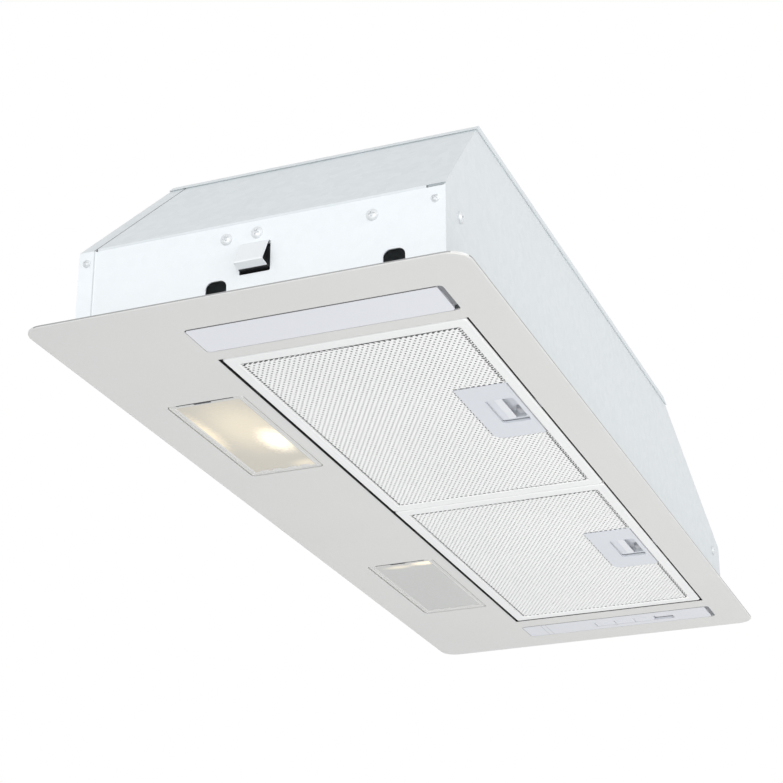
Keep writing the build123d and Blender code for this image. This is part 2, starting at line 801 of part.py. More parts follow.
def filter_latch(x):
    """Sliding catch: a finger cup with wings that run in the tray and a tongue into the plate's collar."""
    cup_length = window_length - 2 * cup_gap
    cup_width = window_width - cup_gap - latch_travel
    cup_y = window_y + window_width / 2 - cup_gap / 2 - cup_width / 2
    wing_front = window_y - window_width / 2 - cup_gap
    wing_back = latch_plate_y + latch_plate_width / 2 - latch_plate_sheet - latch_slide_gap
    tongue_end = filter_y1 + plate_sheet + tongue_reach
    with BuildPart() as latch:
        with BuildSketch(Plane.XY.offset(latch_low)):
            with Locations((x + latch_shift, (wing_front + wing_back) / 2)):
                Rectangle(cup_length + 2 * latch_wing, wing_back - wing_front)
            with Locations((x + latch_shift, (wing_back + tongue_end) / 2)):
                Rectangle(tongue_width, tongue_end - wing_back)
        extrude(amount=latch_sheet)
        with BuildSketch(Plane.XY.offset(latch_low)):
            with Locations((x + latch_shift, cup_y)):
                RectangleRounded(cup_length, cup_width, window_corner)
        extrude(amount=cup_height - latch_low)
        with BuildSketch(Plane.XY.offset(latch_low)):
            with Locations((x + latch_shift, cup_y)):
                RectangleRounded(cup_length - 2 * cup_wall, cup_width - 2 * cup_wall, window_corner)
        extrude(amount=cup_height - cup_wall - latch_low, mode=Mode.SUBTRACT)
        # lead-in on the tongue, so that the filter snaps shut
        nose = latch.edges().filter_by(Axis.X).group_by(Axis.Y)[-1].sort_by(Axis.Z)[-1]
        chamfer(nose, latch_sheet / 2)
    return latch


for name, x in filter_centres.items():
    keep(filter_frame(x), f"{name}_filter_frame")
    keep(filter_mesh(x), f"{name}_filter_mesh")
    keep(latch_plate(x), f"{name}_latch_plate")
    keep(filter_latch(x), f"{name}_filter_latch")


# ================================================================ lamps
def lamp_cover(x):
    """Frosted tray lens with a thin rim, hinged on two stub pins at its far end."""
    length = lamp_open_length - 2 * lamp_cover_gap
    width = lamp_open_width - 2 * lamp_cover_gap
    inner_length, inner_width = length - 2 * lamp_cover_wall, width - 2 * lamp_cover_wall
    pin_x = x - length / 2 + lamp_pin_inset
    pin_tip = lamp_open_width / 2 + lamp_box_gap + lamp_box_sheet
    with BuildPart() as cover:
        with BuildSketch():
            with Locations((x, lamp_open_y)):
                RectangleRounded(length, width, cut_corner - lamp_cover_gap)
        extrude(amount=lamp_cover_skirt)
        with BuildSketch(Plane.XY.offset(lamp_cover_sheet)):
            with Locations((x, lamp_open_y)):
                RectangleRounded(inner_length, inner_width, cut_corner - lamp_cover_gap - lamp_cover_wall / 2)
        extrude(amount=lamp_cover_skirt, mode=Mode.SUBTRACT)
        # the frosted field lies a step above the clear rim
        with BuildSketch():
            with Locations((x, lamp_open_y)):
                RectangleRounded(length - 2 * lamp_cover_rim, width - 2 * lamp_cover_rim, lamp_cover_rim / 2)
        extrude(amount=lamp_cover_step, mode=Mode.SUBTRACT)
        for toward in (1, -1):
            root = lamp_open_y + toward * (width / 2 - lamp_cover_wall / 2)
            reach = pin_tip - width / 2 + lamp_cover_wall / 2
            with BuildSketch(Plane(origin=(pin_x, root, lamp_pin_height), z_dir=(0, toward, 0))):
                Circle(lamp_pin_radius)
            extrude(amount=reach)
    return cover


def lamp_box(x):
    """Reflector box over a lamp opening, open below, tapered front and back, with end tabs on the plate."""
    length = lamp_open_length + 2 * (lamp_box_gap + lamp_box_sheet)
    width = lamp_open_width + 2 * (lamp_box_gap + lamp_box_sheet)
    pin_x = x - lamp_open_length / 2 + lamp_cover_gap + lamp_pin_inset
    low, knee, high = plate_sheet, lamp_box_knee, lamp_box_height
    with BuildPart() as box:
        with BuildSketch(Plane.YZ.offset(x - length / 2)):
            with BuildLine():
                Polyline(
                    (lamp_open_y - width / 2, low), (lamp_open_y + width / 2, low),
                    (lamp_open_y + width / 2, knee), (lamp_open_y + (width - lamp_box_taper) / 2, high),
                    (lamp_open_y - (width - lamp_box_taper) / 2, high), (lamp_open_y - width / 2, knee),
                    close=True,
                )
            make_face()
        extrude(amount=length)
        offset(amount=-lamp_box_sheet, openings=box.faces().sort_by(Axis.Z)[0])
        with BuildSketch(Plane.XY.offset(plate_sheet)):
            with Locations((x, lamp_open_y)):
                with GridLocations(length + lamp_tab_length, 1, 2, 1):
                    Rectangle(lamp_tab_length, width / 2)
        extrude(amount=lamp_box_sheet)
        with Locations(Location((pin_x, lamp_open_y, lamp_pin_height), (90, 0, 0))):
            Cylinder(lamp_pin_radius + lamp_pin_fit, 2 * width, mode=Mode.SUBTRACT)
        with Locations(Location((x + length / 2, lamp_open_y, bulb_height), (0, 90, 0))):
            Cylinder(lamp_wire_hole, 4 * lamp_box_sheet, mode=Mode.SUBTRACT)
    return box


def lamp_axis_plane(x):
    """Plane on the inner face of a lamp box's near end wall: local X runs into the box, local Y up."""
    wall_x = x + lamp_open_length / 2 + lamp_box_gap
    return Plane(origin=(wall_x, lamp_open_y, bulb_height), x_dir=(-1, 0, 0), z_dir=(0, 1, 0))


def lamp_holder(x):
    """Screw-base lamp holder with its square foot on the end wall."""
    with BuildPart() as holder:
        with BuildSketch(lamp_axis_plane(x)):
            with BuildLine():
                Polyline(
                    (0, 0), (0, holder_radius), (holder_length, holder_radius),
                    (holder_length, holder_bore), (holder_length - holder_engagement, holder_bore),
                    (holder_length - holder_engagement, 0), close=True,
                )
            make_face()
        revolve(axis=Axis((0, lamp_open_y, bulb_height), (1, 0, 0)))
        wall_x = x + lamp_open_length / 2 + lamp_box_gap
        with BuildSketch(Plane.YZ.offset(wall_x - holder_foot_sheet)):
            with Locations((lamp_open_y, bulb_height)):
                RectangleRounded(holder_foot_width, 2 * holder_radius, 2 * holder_foot_sheet)
        extrude(amount=holder_foot_sheet)
    return holder


def lamp_bulb(x):
    """Candle bulb: cylindrical base in the holder and a bellied glass."""
    start = holder_length - holder_engagement + holder_foot_sheet / 2
    with BuildPart() as bulb:
        with BuildSketch(lamp_axis_plane(x)):
            with BuildLine():
                Polyline(
                    (start, 0), (start, bulb_base_radius),
                    *[(start + place, radius) for place, radius in bulb_outline], close=True,
                )
            make_face()
        revolve(axis=Axis((0, lamp_open_y, bulb_height), (1, 0, 0)))
    return bulb


for name, x in lamp_places.items():
    keep(lamp_cover(x), f"{name}_lamp_cover")
    keep(lamp_box(x), f"{name}_lamp_box")
    keep(lamp_holder(x), f"{name}_lamp_holder")
    keep(lamp_bulb(x), f"{name}_lamp_bulb")


# ================================================================ control strip, blank strip and switches
def strip_body(x, open_width):
    """Moulded strip in a plate cut-out: a tray turned up, a front lug and a sprung back arm."""
    width = open_width - 2 * strip_gap
    y0, y1 = strip_y0 + strip_gap, strip_y1 - strip_end_gap
    lug_low = plate_sheet + strip_lug_lift
    with BuildPart() as strip:
        with BuildSketch():
            with Locations((x, (y0 + y1) / 2)):
                RectangleRounded(width, y1 - y0, cut_corner - strip_gap)
        extrude(amount=strip_skirt)
        with BuildSketch(Plane.XY.offset(strip_sheet)):
            with Locations((x, (y0 + y1) / 2)):
                Rectangle(width - 2 * strip_wall, y1 - y0 - 2 * strip_wall)
        extrude(amount=strip_skirt, mode=Mode.SUBTRACT)
        with BuildSketch(Plane.XY.offset(lug_low)):
            with Locations((x, strip_y0 + (strip_gap + strip_wall - strip_lug_reach) / 2)):
                Rectangle(strip_lug_width, strip_lug_reach + strip_gap + strip_wall)
            with Locations((x, (y1 - strip_wall + strip_y1 + strip_lug_reach) / 2)):
                Rectangle(strip_lug_width, strip_end_gap + strip_lug_reach + strip_wall)
        extrude(amount=strip_lug_sheet)
    return strip


keep(strip_body(blank_open_x, blank_open_width), "blank_strip")
row_start = strip_y1 - button_row_inset
button_centres = [row_start + (i + 0.5) * button_pitch for i in range(button_count)]
row_length = button_count * button_pitch
row_middle = row_start + row_length / 2
strip_blank = strip_body(control_open_x, control_open_width)
with BuildPart() as control_strip:
    add(strip_blank.part)
    with BuildSketch():
        with Locations((button_row_x, row_middle)):
            Rectangle(button_width + 2 * button_gap, row_length + button_gap)
    extrude(amount=strip_sheet, mode=Mode.SUBTRACT)
keep(control_strip, "control_strip")

for number, y in enumerate(button_centres, start=1):
    pressed = number == pressed_button
    face = button_travel if pressed else 0.0
    with BuildPart() as button:
        with BuildSketch(Plane.XY.offset(face)):
            with Locations((button_row_x, y)):
                Rectangle(button_width, button_pitch - button_gap)
        extrude(amount=button_depth)
        chamfer(button.faces().sort_by(Axis.Z)[0].edges(), button_gap)
        with BuildSketch(Plane.XY.offset(face + strip_sheet + button_lift)):
            with Locations((button_row_x, y)):
                Rectangle(button_width + 2 * (button_gap + button_flange), button_pitch - button_gap)
        extrude(amount=button_flange_sheet)
    keep(button, f"button_{number}")

with BuildPart() as switch_block:
    under = button_depth + button_travel + switch_gap
    with BuildSketch(Plane.XY.offset(strip_sheet)):
        with Locations((button_row_x, row_middle)):
            Rectangle(switch_width, row_length + 2 * (switch_leg + switch_gap))
    extrude(amount=under + switch_height - strip_sheet)
    with BuildSketch(Plane.XY.offset(strip_sheet)):
        with Locations((button_row_x, row_middle)):
            Rectangle(switch_width, row_length + 2 * switch_gap)
    extrude(amount=under - strip_sheet, mode=Mode.SUBTRACT)
keep(switch_block, "switch_block")


# ================================================================ spring clips in the end bands
def clip_plane(side):
    """Upright section plane through a clip, local X pointing out of the end wall."""
    return Plane(origin=(side * body_near, 0, 0), x_dir=(side, 0, 0), z_dir=(0, -side, 0))


def clip_base(side):
    """Flat foot of the spring clip, screwed behind the skirt of the end panel."""
    outer_x = side * (body_near - 3 * wall_sheet)
    with BuildPart() as base:
        with BuildSketch(Plane.YZ.offset(outer_x)):
            with Locations((clip_base_shift, clip_pivot_height + clip_base_height / 2)):
                Rectangle(clip_base_length, clip_base_height)
            with Locations(*clip_screws):
                Circle(screw_hole_radius, mode=Mode.SUBTRACT)
        extrude(amount=-side * clip_sheet)
    return base


def spring_clip(side):
    """Leaf that bulges out through the window in a soft V and holds the hood in its cut-out."""
    start = -3 * wall_sheet - clip_sheet
    bend_height = band_height - panel_skirt - 2 * clip_sheet
    with BuildPart() as leaf:
        with BuildSketch(clip_plane(side).offset(-clip_width / 2)):
            with BuildLine():
                FilletPolyline(
                    (start, clip_pivot_height - clip_pivot_gap), (start, bend_height),
                    (clip_ridge_out - clip_sheet, clip_ridge_height),
                    (-clip_tail_in, clip_tail_height),
                    radius=clip_bend,
                )
                offset(amount=clip_sheet, side=Side.LEFT)
            make_face()
        extrude(amount=clip_width)
    return leaf


for name, side in ends.items():
    keep(clip_base(side), f"{name}_clip_base")
    keep(spring_clip(side), f"{name}_spring_clip")


# ================================================================ outlet collar and non-return flaps
collar_base = body_height
pin_z = collar_base + damper_pin_height
bore_radius = collar_radius - collar_wall
collar_plane = Plane(origin=(collar_x, collar_y, collar_base), x_dir=(1, 0, 0), z_dir=(0, -1, 0))
collar_axis = Axis((collar_x, collar_y, 0), (0, 0, 1))
ledge_z = pin_z - flap_sheet / 2 - flap_rest_gap - flap_ledge_sheet
with BuildPart() as outlet_collar:
    with BuildSketch(collar_plane):
        with BuildLine():
            Polyline(
                (bore_radius, 0), (collar_foot_radius, 0), (collar_foot_radius, collar_foot_sheet),
                (collar_radius, collar_foot_sheet), (collar_radius, collar_height),
                (bore_radius, collar_height), close=True,
            )
        make_face()
    revolve(axis=collar_axis)
    # ledge that the closed flaps rest on
    with BuildSketch(Plane.XY.offset(ledge_z)):
        with Locations((collar_x, collar_y)):
            Circle(bore_radius)
            Circle(bore_radius - flap_ledge, mode=Mode.SUBTRACT)
    extrude(amount=flap_ledge_sheet)
    # bosses that carry the ends of the flap pin
    for toward in (1, -1):
        boss_y = collar_y + toward * (bore_radius + (collar_wall / 2 - damper_boss_length) / 2)
        with Locations(Location((collar_x, boss_y, pin_z), (90, 0, 0))):
            Cylinder(damper_boss_radius, damper_boss_length + collar_wall / 2)
    with Locations(Location((collar_x, collar_y, pin_z), (90, 0, 0))):
        Cylinder(damper_pin_radius, 2 * bore_radius, mode=Mode.SUBTRACT)
    with BuildSketch(Plane.XY.offset(collar_base)):
        with Locations(*collar_screw_places):
            Circle(screw_hole_radius)
    extrude(amount=collar_foot_sheet, mode=Mode.SUBTRACT)
keep(outlet_collar, "outlet_collar")

with BuildPart() as damper_pin:
    with Locations(Location((collar_x, collar_y, pin_z), (90, 0, 0))):
        Cylinder(damper_pin_radius, 2 * bore_radius)
keep(damper_pin, "damper_pin")


def damper_flap(side):
    """Half-round flap on one side of the pin, with two knuckles that interleave with the other flap's."""
    inner_span = 2 * bore_radius - 2 * damper_boss_length - 2 * flap_gap
    pitch = flap_knuckle_length + flap_spine_gap
    knuckle_places = [
        collar_y + sign * inner_span / 2 - sign * (flap_knuckle_length / 2 + (pitch if side < 0 else 0))
        for sign in (1, -1)
    ]
    with BuildPart() as flap:
        with BuildSketch(Plane.XY.offset(pin_z - flap_sheet / 2)):
            with Locations((collar_x, collar_y)):
                Circle(bore_radius - flap_gap)
            with Locations((collar_x - side * bore_radius / 2, collar_y)):
                Rectangle(bore_radius, 2 * bore_radius, mode=Mode.SUBTRACT)
            spine = damper_boss_radius + flap_spine_gap
            with Locations((collar_x + side * spine / 2, collar_y)):
                Rectangle(spine, 2 * bore_radius, mode=Mode.SUBTRACT)
        extrude(amount=flap_sheet)
        for place in knuckle_places:
            with Locations((collar_x + side * spine / 2, place, pin_z)):
                Box(spine, flap_knuckle_length, flap_sheet)
            with Locations(Location((collar_x, place, pin_z), (90, 0, 0))):
                Cylinder(flap_knuckle_radius, flap_knuckle_length)
            with Locations(Location((collar_x, place, pin_z), (90, 0, 0))):
                Cylinder(damper_pin_radius + flap_pin_fit, 2 * flap_knuckle_length, mode=Mode.SUBTRACT)
    return flap


for name, side in ends.items():
    keep(damper_flap(side), f"{name}_damper_flap")


# ================================================================ blower
def tangent_angle(x, y, radius, turn):
    """Angle on the outlet circle where a line from a plan point touches it, on the side given by turn."""
    across, along = y - collar_y, x - collar_x
    reach = math.hypot(across, along)
    return math.degrees(math.atan2(across, along) + turn * math.acos(radius / reach))


def scroll_plan(grow):
    """Blower outline grown outwards: a spiral round the wheel that opens into a round under the collar."""
    angles = [scroll_start_angle + scroll_sweep * i / scroll_points for i in range(scroll_points + 1)]
    inner = [polar(fan_x, fan_y, scroll_radius(angle), angle) for angle in angles]
    outer = [polar(fan_x, fan_y, scroll_radius(angle) + grow, angle) for angle in angles]
    upper = tangent_angle(*inner[-1], outlet_box_radius, 1)
    lower = tangent_angle(*inner[0], outlet_box_radius, -1)
    with BuildSketch() as plan:
        with BuildLine():
            Spline(*outer)
            Polyline(outer[-1], (fan_x, fan_y), outer[0])
        make_face()
        with BuildLine():
            Polyline(
                polar(*inner[-1], grow, upper),
                polar(collar_x, collar_y, outlet_box_radius + grow, upper),
                (collar_x, collar_y),
                polar(collar_x, collar_y, outlet_box_radius + grow, lower),
                polar(*inner[0], grow, lower),
                (fan_x, fan_y),
                close=True,
            )
        make_face()
        with Locations((collar_x, collar_y)):
            Circle(outlet_box_radius + grow)
    return plan.sketch


turn_angle = math.degrees(math.atan2(outlet_turn_rise, outlet_turn_run))
turn_foot = (collar_x - outlet_box_radius + outlet_turn_run, 0, scroll_low)


def turned_up(plan, low, depth):
    """Prism on a plan, its outlet end cut away along a slope that turns the air up into the collar."""
    normal = (math.sin(math.radians(turn_angle)), 0, math.cos(math.radians(turn_angle)))
    foot = tuple(turn_foot[i] + normal[i] * depth for i in range(3))
    with BuildPart() as kept:
        with BuildSketch(Plane.XY.offset(low)):
            add(plan)
        extrude(amount=ceiling - low)
        split(bisect_by=Plane(origin=foot, x_dir=(0, 1, 0), z_dir=normal), keep=Keep.TOP)
    return kept.part


air_space = turned_up(scroll_plan(0.0), scroll_low + scroll_wall, scroll_wall)
outer_form = turned_up(scroll_plan(scroll_wall), scroll_low, 0.0)
with BuildPart() as blower_housing:
    add(outer_form)
    with BuildSketch(Plane.XY.offset(ceiling - ear_sheet)):
        with Locations(*fan_ear_places, *outlet_ear_places):
            Circle(ear_radius)
    extrude(amount=ear_sheet)
    add(air_space, mode=Mode.SUBTRACT)
    with Locations((fan_x, fan_y, scroll_low)):
        Cylinder(inlet_radius + inlet_flare + inlet_fit, 4 * scroll_wall, mode=Mode.SUBTRACT)
    with BuildSketch(Plane.XY.offset(ceiling - ear_sheet)):
        with Locations(*fan_ear_places, *outlet_ear_places):
            Circle(screw_hole_radius)
    extrude(amount=ear_sheet, mode=Mode.SUBTRACT)
keep(blower_housing, "blower_housing")

fan_plane = Plane(origin=(fan_x, fan_y, 0), x_dir=(1, 0, 0), z_dir=(0, -1, 0))
fan_axis = Axis((fan_x, fan_y, 0), (0, 0, 1))
with BuildPart() as inlet_ring:
    with BuildSketch(fan_plane):
        with BuildLine():
            Polyline(
                (inlet_lip_radius, scroll_low - inlet_sheet),
                (inlet_radius + inlet_flare, scroll_low - inlet_sheet),
                (inlet_radius + inlet_bend, scroll_low - inlet_sheet + inlet_bend),
                (inlet_radius, scroll_low - inlet_sheet + inlet_flare), (inlet_radius, inlet_throat_high),
            )
            offset(amount=inlet_sheet, side=Side.RIGHT)
        make_face()
    revolve(axis=fan_axis)
keep(inlet_ring, "inlet_ring")

wheel_inner = wheel_radius - wheel_blade_depth
with BuildSketch() as blade:
    with BuildLine():
        Polyline((0, 0), (wheel_blade_depth / 2, blade_bulge), (wheel_blade_depth, 0))
        offset(amount=blade_sheet, side=Side.LEFT)
    make_face()
with BuildPart() as impeller:
    # dished back: rim under the blade tops, cone down to the hub plate, boss on the shaft
    with BuildSketch(fan_plane):
        with BuildLine():
            Polyline(
                (wheel_radius, wheel_high), (wheel_dish_radius, wheel_high),
                (wheel_hub_radius, wheel_hub_height - wheel_skin),
            )
            offset(amount=wheel_skin, side=Side.LEFT)
        make_face()
        with Locations(((wheel_hub_radius + wheel_boss_radius) / 2, wheel_hub_height - wheel_skin / 2)):
            Rectangle(wheel_hub_radius - wheel_boss_radius + wheel_skin, wheel_skin)
        hub_bore = shaft_radius + shaft_fit
        with Locations(((wheel_boss_radius + hub_bore) / 2, (wheel_boss_low + wheel_boss_high) / 2)):
            Rectangle(wheel_boss_radius - hub_bore, wheel_boss_high - wheel_boss_low)
        with Locations((wheel_radius - wheel_ring_width / 2, wheel_low + wheel_skin / 2)):
            Rectangle(wheel_ring_width, wheel_skin)
    revolve(axis=fan_axis)
    with BuildSketch(Plane.XY.offset(wheel_low)):
        with Locations((fan_x, fan_y)):
            with PolarLocations(wheel_inner, wheel_blades):
                add(blade.sketch)
    extrude(amount=wheel_high - wheel_low - wheel_skin)
keep(impeller, "impeller")


with BuildPart() as motor:
    with BuildSketch(fan_plane):
        with Locations(((motor_radius + shaft_radius) / 2, (motor_low + motor_high) / 2)):
            Rectangle(motor_radius - shaft_radius - shaft_fit, motor_high - motor_low)
    revolve(axis=fan_axis)
    chamfer(motor.edges().filter_by(GeomType.CIRCLE).sort_by(SortBy.RADIUS)[-2:], motor_bevel)
    for seat in (motor_low, motor_high - bush_length):
        with BuildSketch(Plane.XY.offset(seat)):
            with Locations((fan_x, fan_y)):
                Circle(bush_radius)
        extrude(amount=bush_length, mode=Mode.SUBTRACT)
keep(motor, "motor")

with BuildPart() as motor_bushes:
    for seat in (motor_low, motor_high - bush_length):
        with BuildSketch(Plane.XY.offset(seat)):
            with Locations((fan_x, fan_y)):
                Circle(bush_radius)
                Circle(shaft_radius + shaft_fit, mode=Mode.SUBTRACT)
        extrude(amount=bush_length)
keep(motor_bushes, "motor_bushes")

with BuildPart() as motor_shaft:
    with BuildSketch(Plane.XY.offset(shaft_low)):
        with Locations((fan_x, fan_y)):
            Circle(shaft_radius)
    extrude(amount=shaft_high - shaft_low)
    # nut under the wheel's boss
    with BuildSketch(Plane.XY.offset(wheel_boss_low - shaft_nut_height)):
        with Locations((fan_x, fan_y)):
            RegularPolygon(shaft_nut_radius, 6)
    extrude(amount=shaft_nut_height)
keep(motor_shaft, "motor_shaft")

with BuildPart() as motor_bracket:
    with BuildSketch(Plane.XY.offset(motor_high)):
        with Locations((fan_x, fan_y)):
            Circle(bracket_radius)
            Circle(bush_radius, mode=Mode.SUBTRACT)
    extrude(amount=bracket_sheet)
keep(motor_bracket, "motor_bracket")

with BuildPart() as motor_rubbers:
    with BuildSketch(Plane.XY.offset(motor_high + bracket_sheet)):
        with Locations((fan_x, fan_y)):
            with PolarLocations(rubber_circle, rubber_count):
                Circle(rubber_radius)
    extrude(amount=ceiling - motor_high - bracket_sheet)
keep(motor_rubbers, "motor_rubbers")


# ================================================================ wiring parts
with BuildPart() as terminal_box:
    with BuildSketch(inside_slope):
        with Locations((0, terminal_shift)):
            RectangleRounded(terminal_width, terminal_length, 2 * terminal_wall)
    extrude(amount=terminal_depth)
    with BuildSketch(inside_slope.offset(terminal_wall)):
        with Locations((0, terminal_shift)):
            RectangleRounded(
                terminal_width - 2 * terminal_wall, terminal_length - 2 * terminal_wall, terminal_wall
            )
    extrude(amount=terminal_depth, mode=Mode.SUBTRACT)
    with BuildSketch(inside_slope):
        Circle(gland_radius + gland_fit)
    extrude(amount=terminal_wall, mode=Mode.SUBTRACT)
keep(terminal_box, "terminal_box")

with BuildPart() as terminal_lid:
    with BuildSketch(inside_slope.offset(terminal_depth)):
        with Locations((0, terminal_shift)):
            RectangleRounded(terminal_width, terminal_length, 2 * terminal_wall)
    extrude(amount=terminal_lid_sheet)
keep(terminal_lid, "terminal_lid")

with BuildPart() as terminal_block:
    block_place = (0, terminal_shift + terminal_block_shift)
    with BuildSketch(inside_slope.offset(terminal_wall)):
        with Locations(block_place):
            Rectangle(terminal_block_length, terminal_block_width)
    extrude(amount=terminal_block_height)
    # one clamp screw well for each wire, and a wire passage under it
    with BuildSketch(inside_slope.offset(terminal_wall + terminal_block_height)):
        with Locations(block_place):
            with GridLocations(terminal_pole_pitch, 1, terminal_poles, 1):
                Circle(terminal_pole_radius)
    extrude(amount=-terminal_block_height / 2, mode=Mode.SUBTRACT)
    pole_floor = inside_slope.offset(terminal_wall + terminal_block_height / 2)
    with BuildSketch(Plane(origin=pole_floor.origin, x_dir=pole_floor.x_dir, z_dir=pole_floor.y_dir)):
        with GridLocations(terminal_pole_pitch, 1, terminal_poles, 1):
            Circle(terminal_pole_radius / 2)
    extrude(amount=terminal_length, mode=Mode.SUBTRACT)
keep(terminal_block, "terminal_block")

gland_through = wall_sheet + terminal_wall + gland_nut_height
with BuildPart() as cable_gland:
    with BuildSketch(outside_slope):
        RegularPolygon(gland_hex_across / 2, 6, major_radius=False)
    extrude(amount=-gland_hex_height)
    with BuildSketch(outside_slope.offset(-gland_hex_height)):
        Circle(gland_dome_radius)
    extrude(amount=-gland_dome_height, taper=gland_dome_taper)
    with BuildSketch(outside_slope):
        Circle(gland_radius)
    extrude(amount=gland_through)
    with BuildSketch(inside_slope.offset(terminal_wall)):
        RegularPolygon(gland_hex_across / 2, 6, major_radius=False)
    extrude(amount=gland_nut_height)
    with BuildSketch(outside_slope.offset(-gland_hex_height - gland_dome_height)):
        Circle(gland_bore)
    extrude(amount=gland_hex_height + gland_dome_height + gland_through, mode=Mode.SUBTRACT)
keep(cable_gland, "cable_gland")

capacitor_y = body_back - wall_sheet - strap_sheet - strap_fit - capacitor_radius
with BuildPart() as capacitor:
    with BuildSketch(Plane.YZ.offset(capacitor_x - capacitor_length / 2)):
        with Locations((capacitor_y, capacitor_height)):
            Circle(capacitor_radius)
    extrude(amount=capacitor_length)
    chamfer(capacitor.edges().filter_by(GeomType.CIRCLE), capacitor_bevel)
keep(capacitor, "capacitor")

with BuildPart() as capacitor_strap:
    wall_y = body_back - wall_sheet
    hoop = capacitor_radius + strap_fit
    with BuildSketch(Plane.YZ.offset(capacitor_x - strap_width / 2)):
        with Locations((capacitor_y, capacitor_height)):
            Circle(hoop + strap_sheet)
        with Locations((wall_y - strap_sheet / 2, capacitor_height)):
            Rectangle(strap_sheet, 2 * (hoop + strap_foot))
        with Locations((capacitor_y, capacitor_height)):
            Circle(hoop, mode=Mode.SUBTRACT)
    extrude(amount=strap_width)
keep(capacitor_strap, "capacitor_strap")


# ================================================================ screws
def screw_solid(plane, head_radius):
    """Pan-head screw: the head lies on the plane's origin, the shank runs against the plane's normal."""
    with BuildPart() as screw:
        with BuildSketch(plane):
            Circle(head_radius)
        extrude(amount=screw_head_height)
        chamfer(screw.faces().sort_by(Axis(plane.origin, plane.z_dir))[-1].edges(), screw_head_bevel)
        with BuildSketch(plane):
            Circle(screw_radius)
        extrude(amount=-screw_length)
    return screw.part


def screw_group(label, planes, small_planes=()):
    """Write screws of one run as one node of separate solids, some of them with small heads."""
    solids = [screw_solid(plane, screw_head_radius) for plane in planes]
    solids += [screw_solid(plane, small_head_radius) for plane in small_planes]
    with BuildPart() as group:
        for solid in solids:
            add(solid)
    keep(group, label)


for name, side in ends.items():
    band_face = side * (body_near - wall_sheet)
    screw_group(
        f"{name}_end_screws",
        [Plane(origin=(band_face, y, z), z_dir=(side, 0, 0)) for y, z in band_screws[:-1]],
        [
            Plane(origin=(band_face, *band_screws[-1]), z_dir=(side, 0, 0)),
            Plane(origin=(side * body_near, *front_screw), z_dir=(side, 0, 0)),
        ],
    )
screw_group(
    "back_screws",
    [
        Plane(origin=(side * (body_near - back_screw_inset), body_back, back_screw_height), z_dir=(0, 1, 0))
        for side in ends.values()
    ],
)
collar_head = body_height + collar_foot_sheet
screw_group(
    "collar_screws",
    [Plane(origin=(x, y, collar_head), z_dir=(0, 0, 1)) for x, y in collar_screw_places],
)
screw_group(
    "blower_screws",
    [Plane(origin=(x, y, body_height), z_dir=(0, 0, 1)) for x, y in fan_ear_places],
)
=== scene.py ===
import logging
import math
from dataclasses import dataclass, field, replace
from enum import Enum
from functools import cache
from typing import Sequence

import bmesh
import bpy
import numpy as np
from mathutils import Matrix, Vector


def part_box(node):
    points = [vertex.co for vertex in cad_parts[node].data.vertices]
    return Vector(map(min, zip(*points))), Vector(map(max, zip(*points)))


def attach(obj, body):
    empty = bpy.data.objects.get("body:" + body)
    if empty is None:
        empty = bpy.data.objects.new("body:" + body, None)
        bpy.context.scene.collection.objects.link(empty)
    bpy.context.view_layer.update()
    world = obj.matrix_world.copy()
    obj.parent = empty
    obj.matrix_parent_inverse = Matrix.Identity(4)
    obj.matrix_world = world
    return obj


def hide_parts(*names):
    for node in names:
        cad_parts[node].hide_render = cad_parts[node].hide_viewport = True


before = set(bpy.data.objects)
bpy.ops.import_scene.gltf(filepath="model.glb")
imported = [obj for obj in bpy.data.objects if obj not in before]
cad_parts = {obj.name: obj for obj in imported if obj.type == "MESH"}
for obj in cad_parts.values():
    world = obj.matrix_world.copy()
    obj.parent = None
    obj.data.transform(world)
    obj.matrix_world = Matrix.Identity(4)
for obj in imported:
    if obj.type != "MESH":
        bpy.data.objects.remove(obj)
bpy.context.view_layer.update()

logging.basicConfig(level=logging.INFO, format="%(name)s: %(message)s")
LOG = logging.getLogger("range_hood")
MM = 0.001
PHOTO_PIXELS = 783

Row = Sequence[float]
Socket = bpy.types.NodeSocket
Shape = tuple[np.ndarray, list[list[int]]]
Piece = bpy.types.Object


class End(Enum):
    """The two ends of the hood along X."""

    NEAR = 1
    FAR = -1

    def __str__(self) -> str:
        """Name of the end as the CAD nodes and bodies spell it."""
        return self.name.lower()


class Grain(Enum):
    """How a surface's fine unevenness is drawn; where by noise, with its cells per metre and their stretch."""

    NONE = None
    SPANGLE = 210.0
    SPECKLE = (1600.0, (1, 1, 1))
    BRUSHED = (900.0, (0.02, 1, 1))
    ORANGE_PEEL = (420.0, (1, 1, 1))


# ---- node trees
class NodeWork:
    """A node tree, with a hand for adding and linking nodes."""

    def __init__(self, tree: bpy.types.NodeTree) -> None:
        """Take up a tree and empty it."""
        self.tree = tree
        self.tree.nodes.clear()

    def add(self, kind: str, inputs: dict | None = None, **settings: object) -> bpy.types.Node:
        """Add a node of a kind, which is Blender's node type without ShaderNode before it.

        Inputs take a socket's name or index to a value, or to an output socket to link from. Settings are properties
        of the node itself.
        """
        node = self.tree.nodes.new(f"ShaderNode{kind}")
        for key, value in settings.items():
            setattr(node, key, value)
        for key, value in (inputs or {}).items():
            self.feed(node.inputs[key], value)
        return node

    def feed(self, socket: Socket, value: object) -> None:
        """Set an input socket to a constant, or link it from an output socket."""
        if isinstance(value, Socket):
            self.tree.links.new(value, socket)
        else:
            socket.default_value = value

    def math(self, operation: str, *values: object) -> Socket:
        """Result of one step of arithmetic on numbers or output sockets."""
        return self.add("Math", dict(enumerate(values)), operation=operation).outputs[0]


